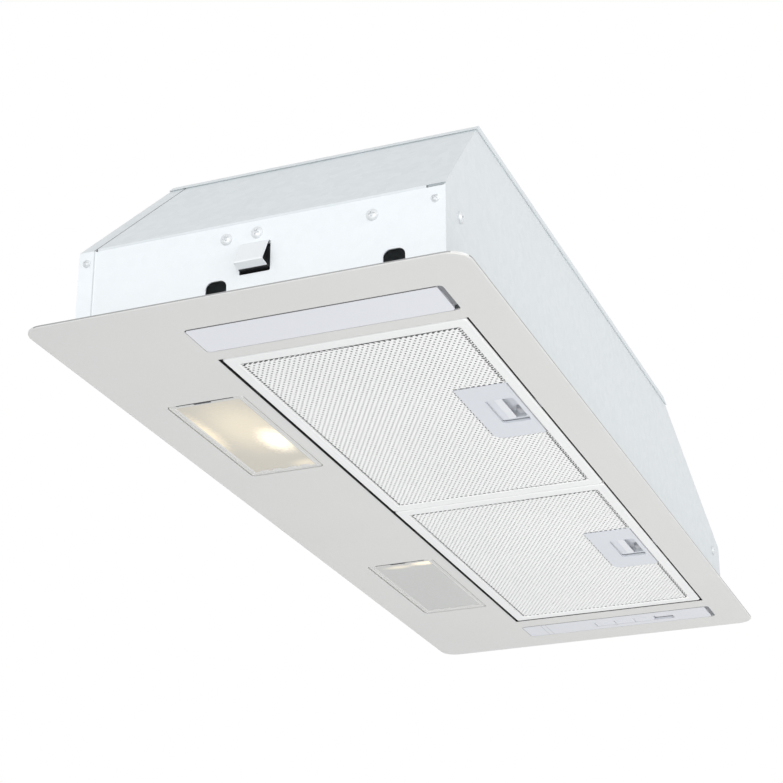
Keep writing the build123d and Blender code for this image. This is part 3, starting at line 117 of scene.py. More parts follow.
class ShaderTree(NodeWork):
    """One material's node tree, whose surface is one Principled shader."""

    def __init__(self, name: str) -> None:
        """Make the material by its name."""
        self.material = bpy.data.materials.new(name)
        self.material.use_nodes = True
        super().__init__(self.material.node_tree)
        self.shader = self.add("BsdfPrincipled")
        self.add("OutputMaterial", {"Surface": self.shader.outputs["BSDF"]})
        self.place = self.add("TexCoord").outputs["Object"]

    def dress(self, values: dict) -> None:
        """Feed the shader's sockets from their names and values."""
        for name, value in values.items():
            self.feed(self.shader.inputs[name], value)

    def noise(self, scale: float, detail: float, stretch: Row = (1, 1, 1)) -> Socket:
        """Noise over Object coordinates, about 0.5 on average, with a scale in cells per metre and octaves of detail.

        The coordinates are multiplied by stretch, which below 1 draws the noise out along that axis.
        """
        mapping = self.add("Mapping", {"Vector": self.place, "Scale": stretch})
        node = self.add("TexNoise", {"Vector": mapping.outputs[0], "Scale": scale, "Detail": detail})
        return node.outputs[0]

    def blend(self, factor: Socket, low: Row, high: Row, start: float = 0.35, end: float = 0.65) -> Socket:
        """Colour that goes from low to high as a factor goes from start to end."""
        ramp = self.add("ValToRGB", {"Fac": factor})
        for stop, place, colour in zip(ramp.color_ramp.elements, (start, end), (low, high)):
            stop.position = place
            stop.color = (*colour, 1)
        return ramp.outputs["Color"]

    def spread(self, factor: Socket, low: float, high: float) -> Socket:
        """Value that goes from low to high as a factor goes from 0.3 to 0.7."""
        limits = {"From Min": 0.3, "From Max": 0.7, "To Min": low, "To Max": high}
        return self.add("MapRange", {"Value": factor, **limits}).outputs[0]

    def bump(self, height: Socket, depth: float) -> None:
        """Let a field from 0 to 1 raise the surface by up to a depth in metres."""
        node = self.add("Bump", {"Height": height, "Distance": depth, "Strength": 1.0})
        self.dress({"Normal": node.outputs["Normal"]})


# ---- finishes
CLOUD_SCALE, COAT_ROUGHNESS, BULB_LIGHT = 9.0, 0.15, (1.0, 0.86, 0.62)
ROUGHNESS_RANGE = (0.85, 1.15)


@dataclass(frozen=True)
class Finish:
    """A painted, plated or moulded surface with fine unevenness in colour, gloss and height (in millimetres)."""

    name: str
    colour: Row
    roughness: float
    metallic: float = 0.0
    grain: Grain = Grain.SPECKLE
    mottle: float = 0.02
    grain_depth: float = 0.01
    coat: float = 0.0
    emission: float = 0.0

    def shade(self, share: float) -> Row:
        """The colour, lighter or darker by a share."""
        return tuple(min(1.0, max(0.0, c * (1 + share))) for c in self.colour)

    def work(self) -> ShaderTree:
        """Build the node tree, its noise in Object coordinates.

        The zinc spangle is cells a few millimetres across, each a little lighter or darker than the next.
        """
        work = ShaderTree(self.name)
        work.dress({"Metallic": self.metallic, "Roughness": self.roughness, "Coat Weight": self.coat,
                    "Coat Roughness": COAT_ROUGHNESS})
        if self.emission:
            work.dress({"Emission Color": (*BULB_LIGHT, 1), "Emission Strength": self.emission})
        dark, light = self.shade(-self.mottle), self.shade(self.mottle)
        if self.grain is Grain.SPANGLE:
            cells = work.add("TexVoronoi", {"Vector": work.place, "Scale": self.grain.value})
            tone = work.add("SeparateColor", {"Color": cells.outputs["Color"]}).outputs
            colour, fine = work.blend(tone[0], dark, light, 0.0, 1.0), tone[1]
        else:
            colour = work.blend(work.noise(CLOUD_SCALE, detail=4.0), dark, light)
        work.dress({"Base Color": colour})
        if self.grain is Grain.NONE:
            return work
        if self.grain is not Grain.SPANGLE:
            scale, stretch = self.grain.value
            fine = work.noise(scale, detail=2.0, stretch=stretch)
        work.dress({"Roughness": work.spread(fine, *(self.roughness * share for share in ROUGHNESS_RANGE))})
        work.bump(fine, self.grain_depth * MM)
        return work

    @cache
    def make(self) -> bpy.types.Material:
        """The material, built once for each finish."""
        return self.work().material


@dataclass(frozen=True)
class Patch:
    """A box, in millimetres of Object coordinates, in which a finish has another colour."""

    low: Row
    high: Row
    colour: Row


@dataclass(frozen=True)
class PatchedFinish(Finish):
    """A finish with small places of another colour, such as painted shade in a groove, a seam or a gap."""

    patches: tuple[Patch, ...] = ()
    bend_height: float = 1000.0
    bend_rate: float = 0.0

    def work(self) -> ShaderTree:
        """Build the plain finish and recolour it inside each patch.

        Y is first lessened by bend_rate times the height over bend_height, so that a patch follows a wall that leans
        above that height.
        """
        work = super().work()
        axes = work.add("SeparateXYZ", {0: work.place}).outputs
        risen = work.math("MAXIMUM", work.math("SUBTRACT", axes["Z"], self.bend_height * MM), 0.0)
        leant = work.math("MULTIPLY_ADD", risen, -self.bend_rate, axes["Y"])
        place = work.add("CombineXYZ", {0: axes["X"], 1: leant, 2: axes["Z"]}).outputs[0]
        colour = work.shader.inputs["Base Color"].links[0].from_socket
        for patch in self.patches:
            mix = work.add("Mix", {0: self.inside(work, place, patch), 6: colour, 7: (*patch.colour, 1)},
                           data_type="RGBA")
            colour = mix.outputs[2]
        work.dress({"Base Color": colour})
        return work

    def inside(self, work: ShaderTree, place: Socket, patch: Patch) -> Socket:
        """Mask of a patch at a place, 1 inside and 0 outside.

        The patch's box is mapped to the cube from -1 to 1. Inside it the greatest of |x|, |y| and |z| is under 1.
        """
        low, high = np.array(patch.low) * MM, np.array(patch.high) * MM
        scale = 2 / (high - low)
        shift = tuple(-(low + high) / 2 * scale)
        cube = work.add("Mapping", {"Vector": place, "Location": shift, "Scale": tuple(scale)})
        away = work.add("VectorMath", {0: cube.outputs[0]}, operation="ABSOLUTE").outputs[0]
        reach = work.add("SeparateXYZ", {0: away}).outputs
        return work.math("LESS_THAN", work.math("MAXIMUM", work.math("MAXIMUM", reach[0], reach[1]), reach[2]), 1.0)


@dataclass(frozen=True)
class Glow:
    """One soft patch of lamp light on a lens, in plan and in metres."""

    centre: Row
    reach: Row
    colour: Row
    strength: float


@dataclass(frozen=True)
class GlowingLens:
    """Frosted lens that a lamp shines through: grey, with warm light where the bulb is near."""

    name: str
    colour: Row
    glows: tuple[Glow, ...]
    fray: float = 0.08
    pebble_scale: float = 520.0
    pebble_tone: float = 0.96
    pebble_depth: float = 0.12

    def make(self) -> bpy.types.Material:
        """Build the material: each glow falls off smoothly with the distance from its centre."""
        work = ShaderTree(self.name)
        pebbles = work.noise(self.pebble_scale, detail=3.0)
        tone = work.blend(pebbles, [c * self.pebble_tone for c in self.colour], self.colour)
        work.dress({"Base Color": tone, "Roughness": 0.38, "IOR": 1.49, "Emission Strength": 1.0})
        total, *others = [self.light(work, glow, pebbles) for glow in self.glows]
        for light in others:
            total = work.add("VectorMath", {0: total, 1: light}, operation="ADD").outputs[0]
        work.dress({"Emission Color": total})
        work.bump(pebbles, self.pebble_depth * MM)
        return work.material

    def light(self, work: ShaderTree, glow: Glow, pebbles: Socket) -> Socket:
        """Colour of one glow times its strength, none past its reach, frayed a little by the pebbles' noise."""
        scale = (1 / glow.reach[0], 1 / glow.reach[1], 0.0)
        shift = (-glow.centre[0] * scale[0], -glow.centre[1] * scale[1], 0.0)
        near = work.add("Mapping", {"Vector": work.place, "Location": shift, "Scale": scale}).outputs[0]
        away = work.add("VectorMath", {0: near}, operation="LENGTH").outputs["Value"]
        frayed = work.math("ADD", away, work.spread(pebbles, -self.fray, self.fray))
        fall = work.add("MapRange", {"Value": frayed, "To Min": glow.strength, "To Max": 0.0},
                        interpolation_type="SMOOTHERSTEP").outputs[0]
        return work.add("VectorMath", {0: glow.colour, "Scale": fall}, operation="SCALE").outputs[0]


WIDE = 1000.0
# Painted shade: the plate's shaded rim, narrow gaps, grooves and seams, and a lip greyed to tone down its highlight.
RIM_PAINTED_SHADE = (0.36, 0.36, 0.355)
GAP_SHADE = (0.02, 0.02, 0.022)
SEAM_SHADE = (0.52, 0.53, 0.56)
LIP_SHADE = (0.50, 0.50, 0.495)
ZINC_LOOK = {"colour": (0.74, 0.775, 0.79), "roughness": 0.42, "metallic": 0.35, "grain": Grain.SPANGLE,
             "mottle": 0.012, "grain_depth": 0.006}
PLATE_PAINT = PatchedFinish(
    "plate_satin", (0.76, 0.755, 0.735), 0.38, metallic=0.2, grain=Grain.ORANGE_PEEL, mottle=0.01, grain_depth=0.004,
    patches=(
        # Painted shade: a dark line along the rim on each edge of the plate, and dark walls in the gap round the
        # filters.
        Patch((359.2, -WIDE, 0.55), (361, WIDE, 1.7), RIM_PAINTED_SHADE),
        Patch((-WIDE, 136.2, 0.55), (WIDE, 138, 1.7), RIM_PAINTED_SHADE),
        Patch((-WIDE, -138, -0.1), (WIDE, -136.4, 0.8), RIM_PAINTED_SHADE),
        Patch((-361, -WIDE, -0.1), (-359.4, WIDE, 0.8), RIM_PAINTED_SHADE),
        Patch((-287.2, -48.3, 0.3), (281.4, -47.7, 5), GAP_SHADE),
        Patch((-287.4, -48.3, 0.3), (-286.7, 111.3, 5), GAP_SHADE),
    ))
ZINC_SHEET = Finish("zinc_sheet", **ZINC_LOOK)
FRONT_SHEET = PatchedFinish("front_sheet", **ZINC_LOOK, bend_height=58.5, bend_rate=30.2 / 70.2, patches=(
    # Lighter below 58.5 mm; painted shade as a dark seam line near Y -105.5 mm, darker where it follows the slope
    # above.
    Patch((-WIDE, -WIDE, -1), (WIDE, WIDE, 58.5), (0.87, 0.905, 0.925)),
    Patch((-WIDE, -105.8, -1), (WIDE, -105.2, 58.5), (0.62, 0.65, 0.66)),
    Patch((-WIDE, -106.1, 58.5), (WIDE, -104.9, 200), (0.30, 0.31, 0.32)),
))
BAND_SHEET = Finish("band_sheet", (0.935, 0.965, 0.98), 0.6, grain=Grain.SPANGLE, mottle=0.008, grain_depth=0.004)
FILTER_ALLOY = Finish("filter_alloy", (0.95, 0.95, 0.94), 0.45, metallic=0.15, grain=Grain.BRUSHED, mottle=0.012,
                      grain_depth=0.004)
FRAME_ALLOY = PatchedFinish(
    "frame_alloy", (0.92, 0.92, 0.915), 0.42, metallic=0.2, grain=Grain.BRUSHED, mottle=0.012, grain_depth=0.004,
    patches=(
        # Painted shade: the frame's tabs and outer back wall dark in the gaps to the plate, and the lip greyed against
        # its highlight.
        Patch((-WIDE, -WIDE, -1), (WIDE, -46.5, 12), (0.03, 0.03, 0.03)),
        Patch((-WIDE, 109.0, 0.8), (WIDE, WIDE, 12), (0.05, 0.05, 0.05)),
        Patch((7.6, -38.4, 0.05), (269.7, 101.3, 2.4), LIP_SHADE),
        Patch((-275.5, -38.4, 0.05), (-13.4, 101.3, 2.4), LIP_SHADE),
    ))
BACKING_ALLOY = Finish("backing_alloy", (0.42, 0.42, 0.42), 0.6, metallic=0.3, mottle=0.25)
EDGE_SHADE = Finish("edge_shade", (0.10, 0.10, 0.105), 0.7, mottle=0.2)
STRIP_PLASTIC = PatchedFinish(
    "strip_plastic", (0.75, 0.76, 0.80), 0.42, mottle=0.008, grain_depth=0.006, patches=(
        # Painted shade: a dark line along the near edge in the gap to the plate, black at the front corner.
        Patch((324.1, -WIDE, -1), (330, WIDE, 9), (0.12, 0.12, 0.125)),
        Patch((323.0, -WIDE, -1), (330, -47.6, 9), GAP_SHADE),
    ))
CONTROL_PLASTIC = PatchedFinish(
    "control_plastic", (0.72, 0.73, 0.765), 0.42, mottle=0.008, grain_depth=0.006, patches=(
        # Painted shade: a dark line along the strip's outer edge, and the two grooves.
        Patch((-304.2, -WIDE, -1), (-300, WIDE, 9), (0.25, 0.25, 0.26)),
        Patch((-WIDE, -32.8, -1), (WIDE, -32.2, 9), SEAM_SHADE),
        Patch((-WIDE, -28.8, -1), (WIDE, -28.2, 9), SEAM_SHADE),
    ))
# Grey plastic of the sprung arm, darkened with painted shade of the gap it lies in.
ARM_PLASTIC_AND_SHADE = Finish("arm_plastic", (0.20, 0.205, 0.22), 0.5, grain_depth=0.006)
# Latch plastic, lighter as painted highlight on the raised thumb bar and darker as painted shade on the cup's step.
THUMB_LIT_PLASTIC = Finish("thumb_plastic", (0.78, 0.79, 0.82), 0.35, mottle=0.008, grain_depth=0.004)
STEP_SHADED_PLASTIC = Finish("step_plastic", (0.42, 0.43, 0.455), 0.45, mottle=0.01, grain_depth=0.006)
CLEAR_RIM = Finish("clear_rim", (0.70, 0.695, 0.675), 0.16, grain=Grain.NONE, mottle=0.03, coat=0.6)
LAMP_CAP = Finish("lamp_cap", (0.66, 0.62, 0.50), 0.3, metallic=0.9, grain=Grain.BRUSHED)
LATCH_PLASTIC = Finish("latch_plastic", (0.69, 0.71, 0.75), 0.45, mottle=0.01, grain_depth=0.008)
BUTTON_PLASTIC = Finish("button_plastic", (0.73, 0.74, 0.78), 0.30, mottle=0.006, grain_depth=0.003)
BLACK_PLASTIC = Finish("black_plastic", (0.025, 0.025, 0.028), 0.5, mottle=0.1, grain_depth=0.02)
GREY_PLASTIC = Finish("grey_plastic", (0.10, 0.105, 0.11), 0.5, mottle=0.06, grain_depth=0.02)
HOLDER_PLASTIC = Finish("holder_ceramic", (0.80, 0.78, 0.74), 0.35)
SPRING_STEEL = PatchedFinish(
    "spring_steel", (0.88, 0.90, 0.91), 0.35, metallic=0.3, grain=Grain.BRUSHED, mottle=0.012, grain_depth=0.003,
    patches=(
        Patch((329, -WIDE, 24), (336.4, WIDE, 27.6), GAP_SHADE),
        Patch((-336.4, -WIDE, 24), (-329, WIDE, 27.6), GAP_SHADE),
    ))
TURNED_STEEL = Finish("turned_steel", (0.62, 0.63, 0.65), 0.28, metallic=1.0, grain=Grain.BRUSHED)
SCREW_ZINC = Finish("screw_zinc", (0.78, 0.80, 0.81), 0.40, metallic=0.35)
MOTOR_PAINT = Finish("motor_paint", (0.12, 0.125, 0.135), 0.4, metallic=0.3, grain=Grain.ORANGE_PEEL)
BRONZE = Finish("sintered_bronze", (0.48, 0.33, 0.16), 0.5, metallic=0.9)
RUBBER = Finish("rubber", (0.03, 0.03, 0.03), 0.75, grain_depth=0.03)
BULB_GLASS = Finish("bulb_glass", (0.95, 0.93, 0.88), 0.25, grain=Grain.NONE, mottle=0.005)
WARM = (1.0, 0.80, 0.45)
NEAR_LENS = GlowingLens("near_lens", (0.66, 0.62, 0.54), (
    Glow((0.152, -0.068), (0.031, 0.0165), (1.0, 0.93, 0.72), 0.78),
    Glow((0.178, -0.078), (0.068, 0.040), (1.0, 0.80, 0.46), 0.24),
    Glow((0.178, -0.106), (0.048, 0.010), (1.0, 0.78, 0.45), 0.40),
    Glow((0.108, -0.066), (0.012, 0.016), (1.0, 0.80, 0.50), 0.22),
))
FAR_LENS = GlowingLens("far_lens", (0.60, 0.60, 0.585), (
    Glow((-0.116, -0.066), (0.008, 0.017), WARM, 0.75),
    Glow((-0.119, -0.088), (0.006, 0.018), WARM, 0.30),
))

# A star stands for both ends.
CAD_FINISHES: dict[Finish, tuple[str, ...]] = {
    PLATE_PAINT: ("face_plate",),
    FRONT_SHEET: ("front_wall",),
    ZINC_SHEET: ("back_wall", "top_cover", "*_end_panel", "*_partition", "*_lamp_box", "motor_bracket",
                 "capacitor_strap"),
    BAND_SHEET: ("*_end_band",),
    FRAME_ALLOY: ("*_filter_frame",),
    FILTER_ALLOY: ("*_filter_mesh",),
    STRIP_PLASTIC: ("blank_strip",),
    CONTROL_PLASTIC: ("control_strip",),
    LATCH_PLASTIC: ("*_latch_plate", "*_filter_latch"),
    BUTTON_PLASTIC: ("button_1", "button_2", "button_3", "button_4"),
    BLACK_PLASTIC: ("switch_block", "outlet_collar", "terminal_box", "terminal_lid", "cable_gland", "blower_housing",
                    "inlet_ring"),
    GREY_PLASTIC: ("*_damper_flap", "impeller"),
    HOLDER_PLASTIC: ("*_lamp_holder", "*_lamp_cover", "terminal_block", "capacitor"),
    SPRING_STEEL: ("*_clip_base", "*_spring_clip"),
    TURNED_STEEL: ("damper_pin", "motor_shaft"),
    SCREW_ZINC: ("*_end_screws", "back_screws", "collar_screws", "blower_screws"),
    MOTOR_PAINT: ("motor",),
    BRONZE: ("motor_bushes",),
    RUBBER: ("motor_rubbers",),
    BULB_GLASS: ("*_lamp_bulb",),
}


# ---- shapes
SMOOTH_BELOW = math.radians(32)


def linked(name: str, data: bpy.types.ID) -> Piece:
    """New object that shows a mesh, camera or lamp, linked to the scene."""
    thing = bpy.data.objects.new(name, data)
    bpy.context.scene.collection.objects.link(thing)
    return thing


def mesh_piece(name: str, shape: Shape, finish: Finish | GlowingLens, body: str, weld: bool = True) -> Piece:
    """Make a piece from a shape and let it ride on a body.

    Args:
        name: The piece's name.
        shape: Its points in metres, in the CAD frame, and the point numbers of each face.
        finish: Its finish.
        body: The CAD body that it moves with.
        weld: Whether points at one place are joined and the faces turned outwards.
    """
    points, faces = shape
    mesh = bpy.data.meshes.new(name)
    mesh.from_pydata(points.reshape(-1, 3), [], faces)
    if weld:
        work = bmesh.new()
        work.from_mesh(mesh)
        bmesh.ops.remove_doubles(work, verts=work.verts, dist=1e-6)
        bmesh.ops.recalc_face_normals(work, faces=work.faces)
        work.to_mesh(mesh)
        work.free()
        mesh.polygons.foreach_set("use_smooth", np.full(len(mesh.polygons), True))
        mesh.set_sharp_from_angle(angle=SMOOTH_BELOW)
    mesh.materials.append(finish.make())
    mesh.update()
    piece = linked(name, mesh)
    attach(piece, body)
    LOG.info("%s: %d faces", name, len(mesh.polygons))
    return piece


def box_of(node: str, unit: float = MM) -> tuple[np.ndarray, np.ndarray]:
    """Lowest and highest corner of a CAD node, in a unit given in metres."""
    low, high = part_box(node)
    return np.array(low) / unit, np.array(high) / unit


def grid_faces(rows: int, columns: int, wrap_rows: bool = False, wrap_columns: bool = False) -> np.ndarray:
    """Quads of a grid of points, numbered row by row.

    Args:
        rows: Number of rows of points.
        columns: Number of points in a row.
        wrap_rows: Whether the last row joins the first.
        wrap_columns: Whether the last point of a row joins its first.

    Returns:
        Array (m, 4) of point numbers.
    """
    i = np.arange(rows if wrap_rows else rows - 1)[:, None]
    j = np.arange(columns if wrap_columns else columns - 1)[None, :]
    next_i, next_j = (i + 1) % rows, (j + 1) % columns
    corners = [i * columns + j, i * columns + next_j, next_i * columns + next_j, next_i * columns + j]
    return np.stack([np.broadcast_to(c, (i.size, j.size)) for c in corners], axis=-1).reshape(-1, 4)


@dataclass(frozen=True)
class Block:
    """Shell whose level outlines are round-cornered rectangles, in millimetres.

    Each row of the profile is the outline's inset from the size, and its height. A closed block's last row joins its
    first, as round a frame; otherwise both ends get a flat cap.
    """

    size: Row
    corner: float
    profile: tuple[Row, ...]
    closed: bool = False
    corner_points: int = 6
    least_corner: float = 0.3

    def outline(self, inset: float) -> np.ndarray:
        """One outline round the origin, an inset inside the size, as an array (m, 2).

        A corner's points lie at its arc's middle, (+-(length / 2 - radius), +-(width / 2 - radius)), plus the radius
        times (cos a, sin a), with a going through that corner's quarter.
        """
        length, width = self.size[0] - 2 * inset, self.size[1] - 2 * inset
        radius = max(self.corner - inset, self.least_corner)
        angle = np.radians(90 * np.arange(4)[:, None] + np.linspace(0, 90, self.corner_points)[None])
        sign_x, sign_y = np.array([[1], [-1], [-1], [1]]), np.array([[1], [1], [-1], [-1]])
        x = sign_x * (length / 2 - radius) + radius * np.cos(angle)
        y = sign_y * (width / 2 - radius) + radius * np.sin(angle)
        return np.stack([x, y], axis=-1).reshape(-1, 2)

    def at(self, x: float, y: float) -> Shape:
        """The shell with its middle at a place in plan, its points in metres."""
        outlines = [(self.outline(inset) + (x, y), height) for inset, height in self.profile]
        points = np.array([np.column_stack([loop, np.full(len(loop), height)]) for loop, height in outlines]) * MM
        rows, count = points.shape[:2]
        faces = grid_faces(rows, count, wrap_rows=self.closed, wrap_columns=True).tolist()
        if not self.closed:
            faces += [list(range(count)), list(range((rows - 1) * count, rows * count))]
        return points, faces


def square_axes(along: np.ndarray) -> tuple[np.ndarray, np.ndarray]:
    """Two directions square to a unit direction and to each other."""
    side = np.cross(along, [0.0, 0.0, 1.0] if abs(along[2]) < 0.9 else [1.0, 0.0, 0.0])
    side /= np.linalg.norm(side)
    return side, np.cross(along, side)


def lathe_shape(origin: Row, axis: Row, profile: Sequence[Row], turns: int) -> Shape:
    """Surface turned round an axis.

    A point lies at origin + height * axis + radius * (cos t * side + sin t * across).

    Args:
        origin: Foot of the axis in millimetres.
        axis: Its unit direction.
        profile: Rows of height along the axis and radius, in millimetres; radius 0 is a pole.
        turns: Points round the axis.

    Returns:
        The surface, open at any end whose radius isn't 0.
    """
    along = np.array(axis, float)
    side, across = square_axes(along)
    height, radius = np.array(profile, float).T[:, :, None, None]
    angle = np.linspace(0, 2 * math.pi, turns, endpoint=False)[:, None]
    points = np.array(origin, float) + height * along + radius * (np.cos(angle) * side + np.sin(angle) * across)
    return points * MM, grid_faces(len(height), turns, wrap_columns=True).tolist()


def joined(shapes: Sequence[Shape]) -> Shape:
    """Several shapes as one."""
    points: list[np.ndarray] = []
    faces: list[list[int]] = []
    count = 0
    for shape_points, shape_faces in shapes:
        points.append(shape_points.reshape(-1, 3))
        faces += [[number + count for number in face] for face in shape_faces]
        count += len(points[-1])
    return np.concatenate(points), faces


# ---- grease filters
THUMB_BAR = Block((34.0, 5.2), 2.6, ((0.5, 2.02), (0.0, 1.95), (0.0, 1.75), (0.25, 1.56), (1.2, 1.5)))
CUP_STEP = Block((7.6, 10.6), 1.2, ((0.0, 6.78), (0.0, 4.4), (0.4, 4.0)))


@dataclass
class FilterPad:
    """Perforated face sheet over expanded layers, in metres, and the latch's finger pull, in millimetres."""

    end: End
    pitch: float = 3.36 * MM
    hole_radius: float = 0.82 * MM
    upper_pitch: float = 4.6 * MM
    upper_hole_radius: float = 1.5 * MM
    first_hole: Row = (0.6, 0.25)
    sides: int = 12
    sheet: float = 0.45 * MM
    face_height: float = 0.45 * MM
    upper_gap: float = 0.10 * MM
    backing_rise: float = 1.5 * MM
    wave_length: float = 7.0 * MM
    wave_steps: int = 5
    wave_height: float = 0.45 * MM
    tray_wall_cover: float = 0.2 * MM
    tray_corner: float = 7.0 * MM
    lip_inset: Row = (8.95 * MM, 7.05 * MM)
    lip_cover: float = 1.0 * MM
    edge_inset: float = 0.85 * MM
    edge_half: Row = (1.10 * MM, 0.75 * MM)
    edge_stand: float = 0.03 * MM
    edge_depth: float = 0.3 * MM
    edge_tray_gap: float = 0.5 * MM
    thumb_setback: float = 8.6
    step_shift: Row = (-12.5, 18.2)
    low: np.ndarray = field(init=False)
    high: np.ndarray = field(init=False)
    tray: tuple[np.ndarray, np.ndarray] = field(init=False)

    def __post_init__(self) -> None:
        """Take the pad's and the latch tray's places from the CAD."""
        self.low, self.high = box_of(f"{self.end}_filter_mesh", 1.0)
        self.tray = box_of(f"{self.end}_latch_plate", 1.0)

    def build(self) -> None:
        """Make the sheets and the finger pull."""
        held = np.array([*self.lip_inset, 0.0]) - np.array([self.lip_cover, self.lip_cover, 0.0])
        face = self.perforated("face_sheet", self.low + held, self.high - held, self.face_height, self.pitch,
                               self.hole_radius)
        upper = self.perforated("upper_sheet", self.low, self.high, self.high[2] - self.upper_gap - self.sheet,
                                self.upper_pitch, self.upper_hole_radius)
        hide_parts(f"{self.end}_filter_mesh")
        for piece in (face, upper, self.expanded(), self.edge_row()):
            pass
        self.finger_pull()

    def off_tray(self, x: np.ndarray, y: np.ndarray) -> np.ndarray:
        """Whether places in plan lie clear of the latch's tray, whose far front corner is round."""
        (left, front, _), (right, _, _) = self.tray
        cover, corner = self.tray_wall_cover, self.tray_corner
        beside = (x < left - cover) | (x > right + cover) | (y < front - cover)
        arc_x, arc_y = x - left - corner, y - front - corner
        return beside | ((arc_x < 0) & (arc_y < 0) & (np.hypot(arc_x, arc_y) > corner + cover))

    def perforated(self, word: str, low: np.ndarray, high: np.ndarray, height: float, pitch: float,
                   radius: float) -> Piece:
        """Sheet with staggered holes, in columns a row step apart, every other one half a pitch along.

        Each hole sits in a six-sided cell. Point k of the cell's outline lies at the cell's middle plus
        (cos(30 k), sin(30 k)) times pitch / sqrt(3) where k is even, at a corner, and times pitch / 2 where it is
        odd, at a side's middle. The hole's point k lies at the same angle and the hole's radius, once on the lower
        face and once a sheet higher. On the upper sheet the outline, a sheet higher, makes the back.

        Args:
            word: What the sheet is called.
            low: Lowest corner of its field.
            high: Highest corner of its field.
            height: Height of its lower face.
            pitch: Distance between holes.
            radius: Radius of the holes.
        """
        step = pitch * math.sqrt(3) / 2
        columns, rows = int((high[0] - low[0]) / step), int((high[1] - low[1]) / pitch)
        column, row = np.meshgrid(np.arange(columns), np.arange(rows))
        x = low[0] + step * (column + self.first_hole[0])
        y = low[1] + pitch * (row + self.first_hole[1] + 0.5 * (column % 2))
        kept = self.off_tray(x, y)
        middle = np.stack([x[kept], y[kept], np.full(kept.sum(), height)], axis=-1)[:, None]
        corner = np.arange(self.sides)
        turn = 2 * math.pi * corner / self.sides
        spoke = np.stack([np.cos(turn), np.sin(turn), np.zeros(self.sides)], axis=-1)[None]
        reach = np.where(corner % 2 == 0, pitch / math.sqrt(3), pitch / 2)[None, :, None]
        up = np.array([0, 0, self.sheet])
        outer, inner = middle + spoke * reach, middle + spoke * radius
        rings = np.stack([outer, inner, inner + up, outer + up][:3 if word == "face_sheet" else 4], axis=1)
        cell = grid_faces(rings.shape[1], self.sides, wrap_columns=True)[:, ::-1]
        faces = (np.arange(len(middle))[:, None, None] * rings.shape[1] * self.sides + cell[None]).reshape(-1, 4)
        return mesh_piece(f"{self.end}_{word}", (rings, faces.tolist()), FILTER_ALLOY,
                          f"{self.end}_filter", weld=False)

    def expanded(self) -> Piece:
        """Crumpled layer behind the face sheet, left out over the tray.

        Its height is backing_rise + wave_height * sin(2 pi x / wave_length) * sin(2 pi y / wave_length).
        """
        low, high, step = self.low, self.high, self.wave_length / self.wave_steps
        x, y = np.meshgrid(np.arange(low[0], high[0], step), np.arange(low[1], high[1], step))
        turn = 2 * math.pi / self.wave_length
        z = low[2] + self.backing_rise + self.wave_height * np.sin(turn * x) * np.sin(turn * y)
        faces = grid_faces(*x.shape)
        kept = faces[self.off_tray(x.reshape(-1), y.reshape(-1))[faces].all(axis=1)]
        front = np.stack([x, y, z], axis=-1).reshape(-1, 3)
        points = np.concatenate([front, front + [0, 0, self.sheet]])
        both = np.concatenate([kept[:, ::-1], kept + len(front)]).tolist()
        return mesh_piece(f"{self.end}_expanded_layer", (points, both), BACKING_ALLOY,
                          f"{self.end}_filter", weld=False)

    def edge_row(self) -> Piece:
        """Row of half-covered punched holes along the frame's lip, each a small six-sided stud of shade.

        A stud's corner k lies at its middle plus (half length along the edge, half width across) times
        (cos(60 k), sin(60 k)). The studs stand a column's step apart on the long edges, and a pitch apart on the
        short ones and at the tray's near side.
        """
        (left, front, _), (right, _, _) = self.tray
        inset = np.array(self.lip_inset) + self.edge_inset
        a, b = self.low[:2] + inset, self.high[:2] - inset
        step = (self.pitch * math.sqrt(3) / 2, self.pitch)
        near_side = right + self.edge_tray_gap
        rows = []
        edges = [((a[0], y), (b[0], y), 0) for y in (a[1], b[1])] + [((x, a[1]), (x, b[1]), 1) for x in (a[0], b[0])]
        for start, stop, along in edges + [((near_side, front), (near_side, b[1]), 1)]:
            count = int((stop[along] - start[along]) / step[along])
            share = (np.arange(count) + 0.5)[:, None] / count
            place = np.array(start) + share * (np.array(stop) - np.array(start))
            rows.append(np.column_stack([place, np.full(count, along)]))
        spots = np.concatenate(rows)
        spots = spots[(spots[:, 0] <= left) | (spots[:, 0] >= right) | (spots[:, 1] <= front)]
        angle = np.radians(60 * np.arange(6))
        half = np.where(spots[:, 2:3] == 0, [self.edge_half], [self.edge_half[::-1]])[:, None]
        ring = np.stack([np.cos(angle), np.sin(angle)], axis=-1)[None] * half + spots[:, None, :2]
        bottom = np.full(ring.shape[:2] + (1,), self.face_height - self.edge_stand)
        points = np.stack([np.concatenate([ring, height], axis=-1) for height in (bottom, bottom + self.edge_depth)],
                          axis=1)
        quads = grid_faces(2, 6, wrap_columns=True).tolist() + [list(range(5, -1, -1)), list(range(6, 12))]
        faces = [[number + 12 * k for number in face] for k in range(len(spots)) for face in quads]
        return mesh_piece(f"{self.end}_edge_holes", (points, faces), EDGE_SHADE, f"{self.end}_filter")

    def finger_pull(self) -> None:
        """Rounded thumb bar on the slide, with a painted highlight, and the step at the far end of its cup, in painted
        shade.
        """
        low, high = box_of(f"{self.end}_filter_latch")
        middle = (low[0] + high[0]) / 2
        bar = THUMB_BAR.at(middle, low[1] + self.thumb_setback)
        step = CUP_STEP.at(middle + self.step_shift[0], low[1] + self.step_shift[1])
        for word, shape, finish in (("thumb_bar", bar, THUMB_LIT_PLASTIC), ("cup_step", step, STEP_SHADED_PLASTIC)):
            mesh_piece(f"{self.end}_{word}", shape, finish, f"{self.end}_latch")


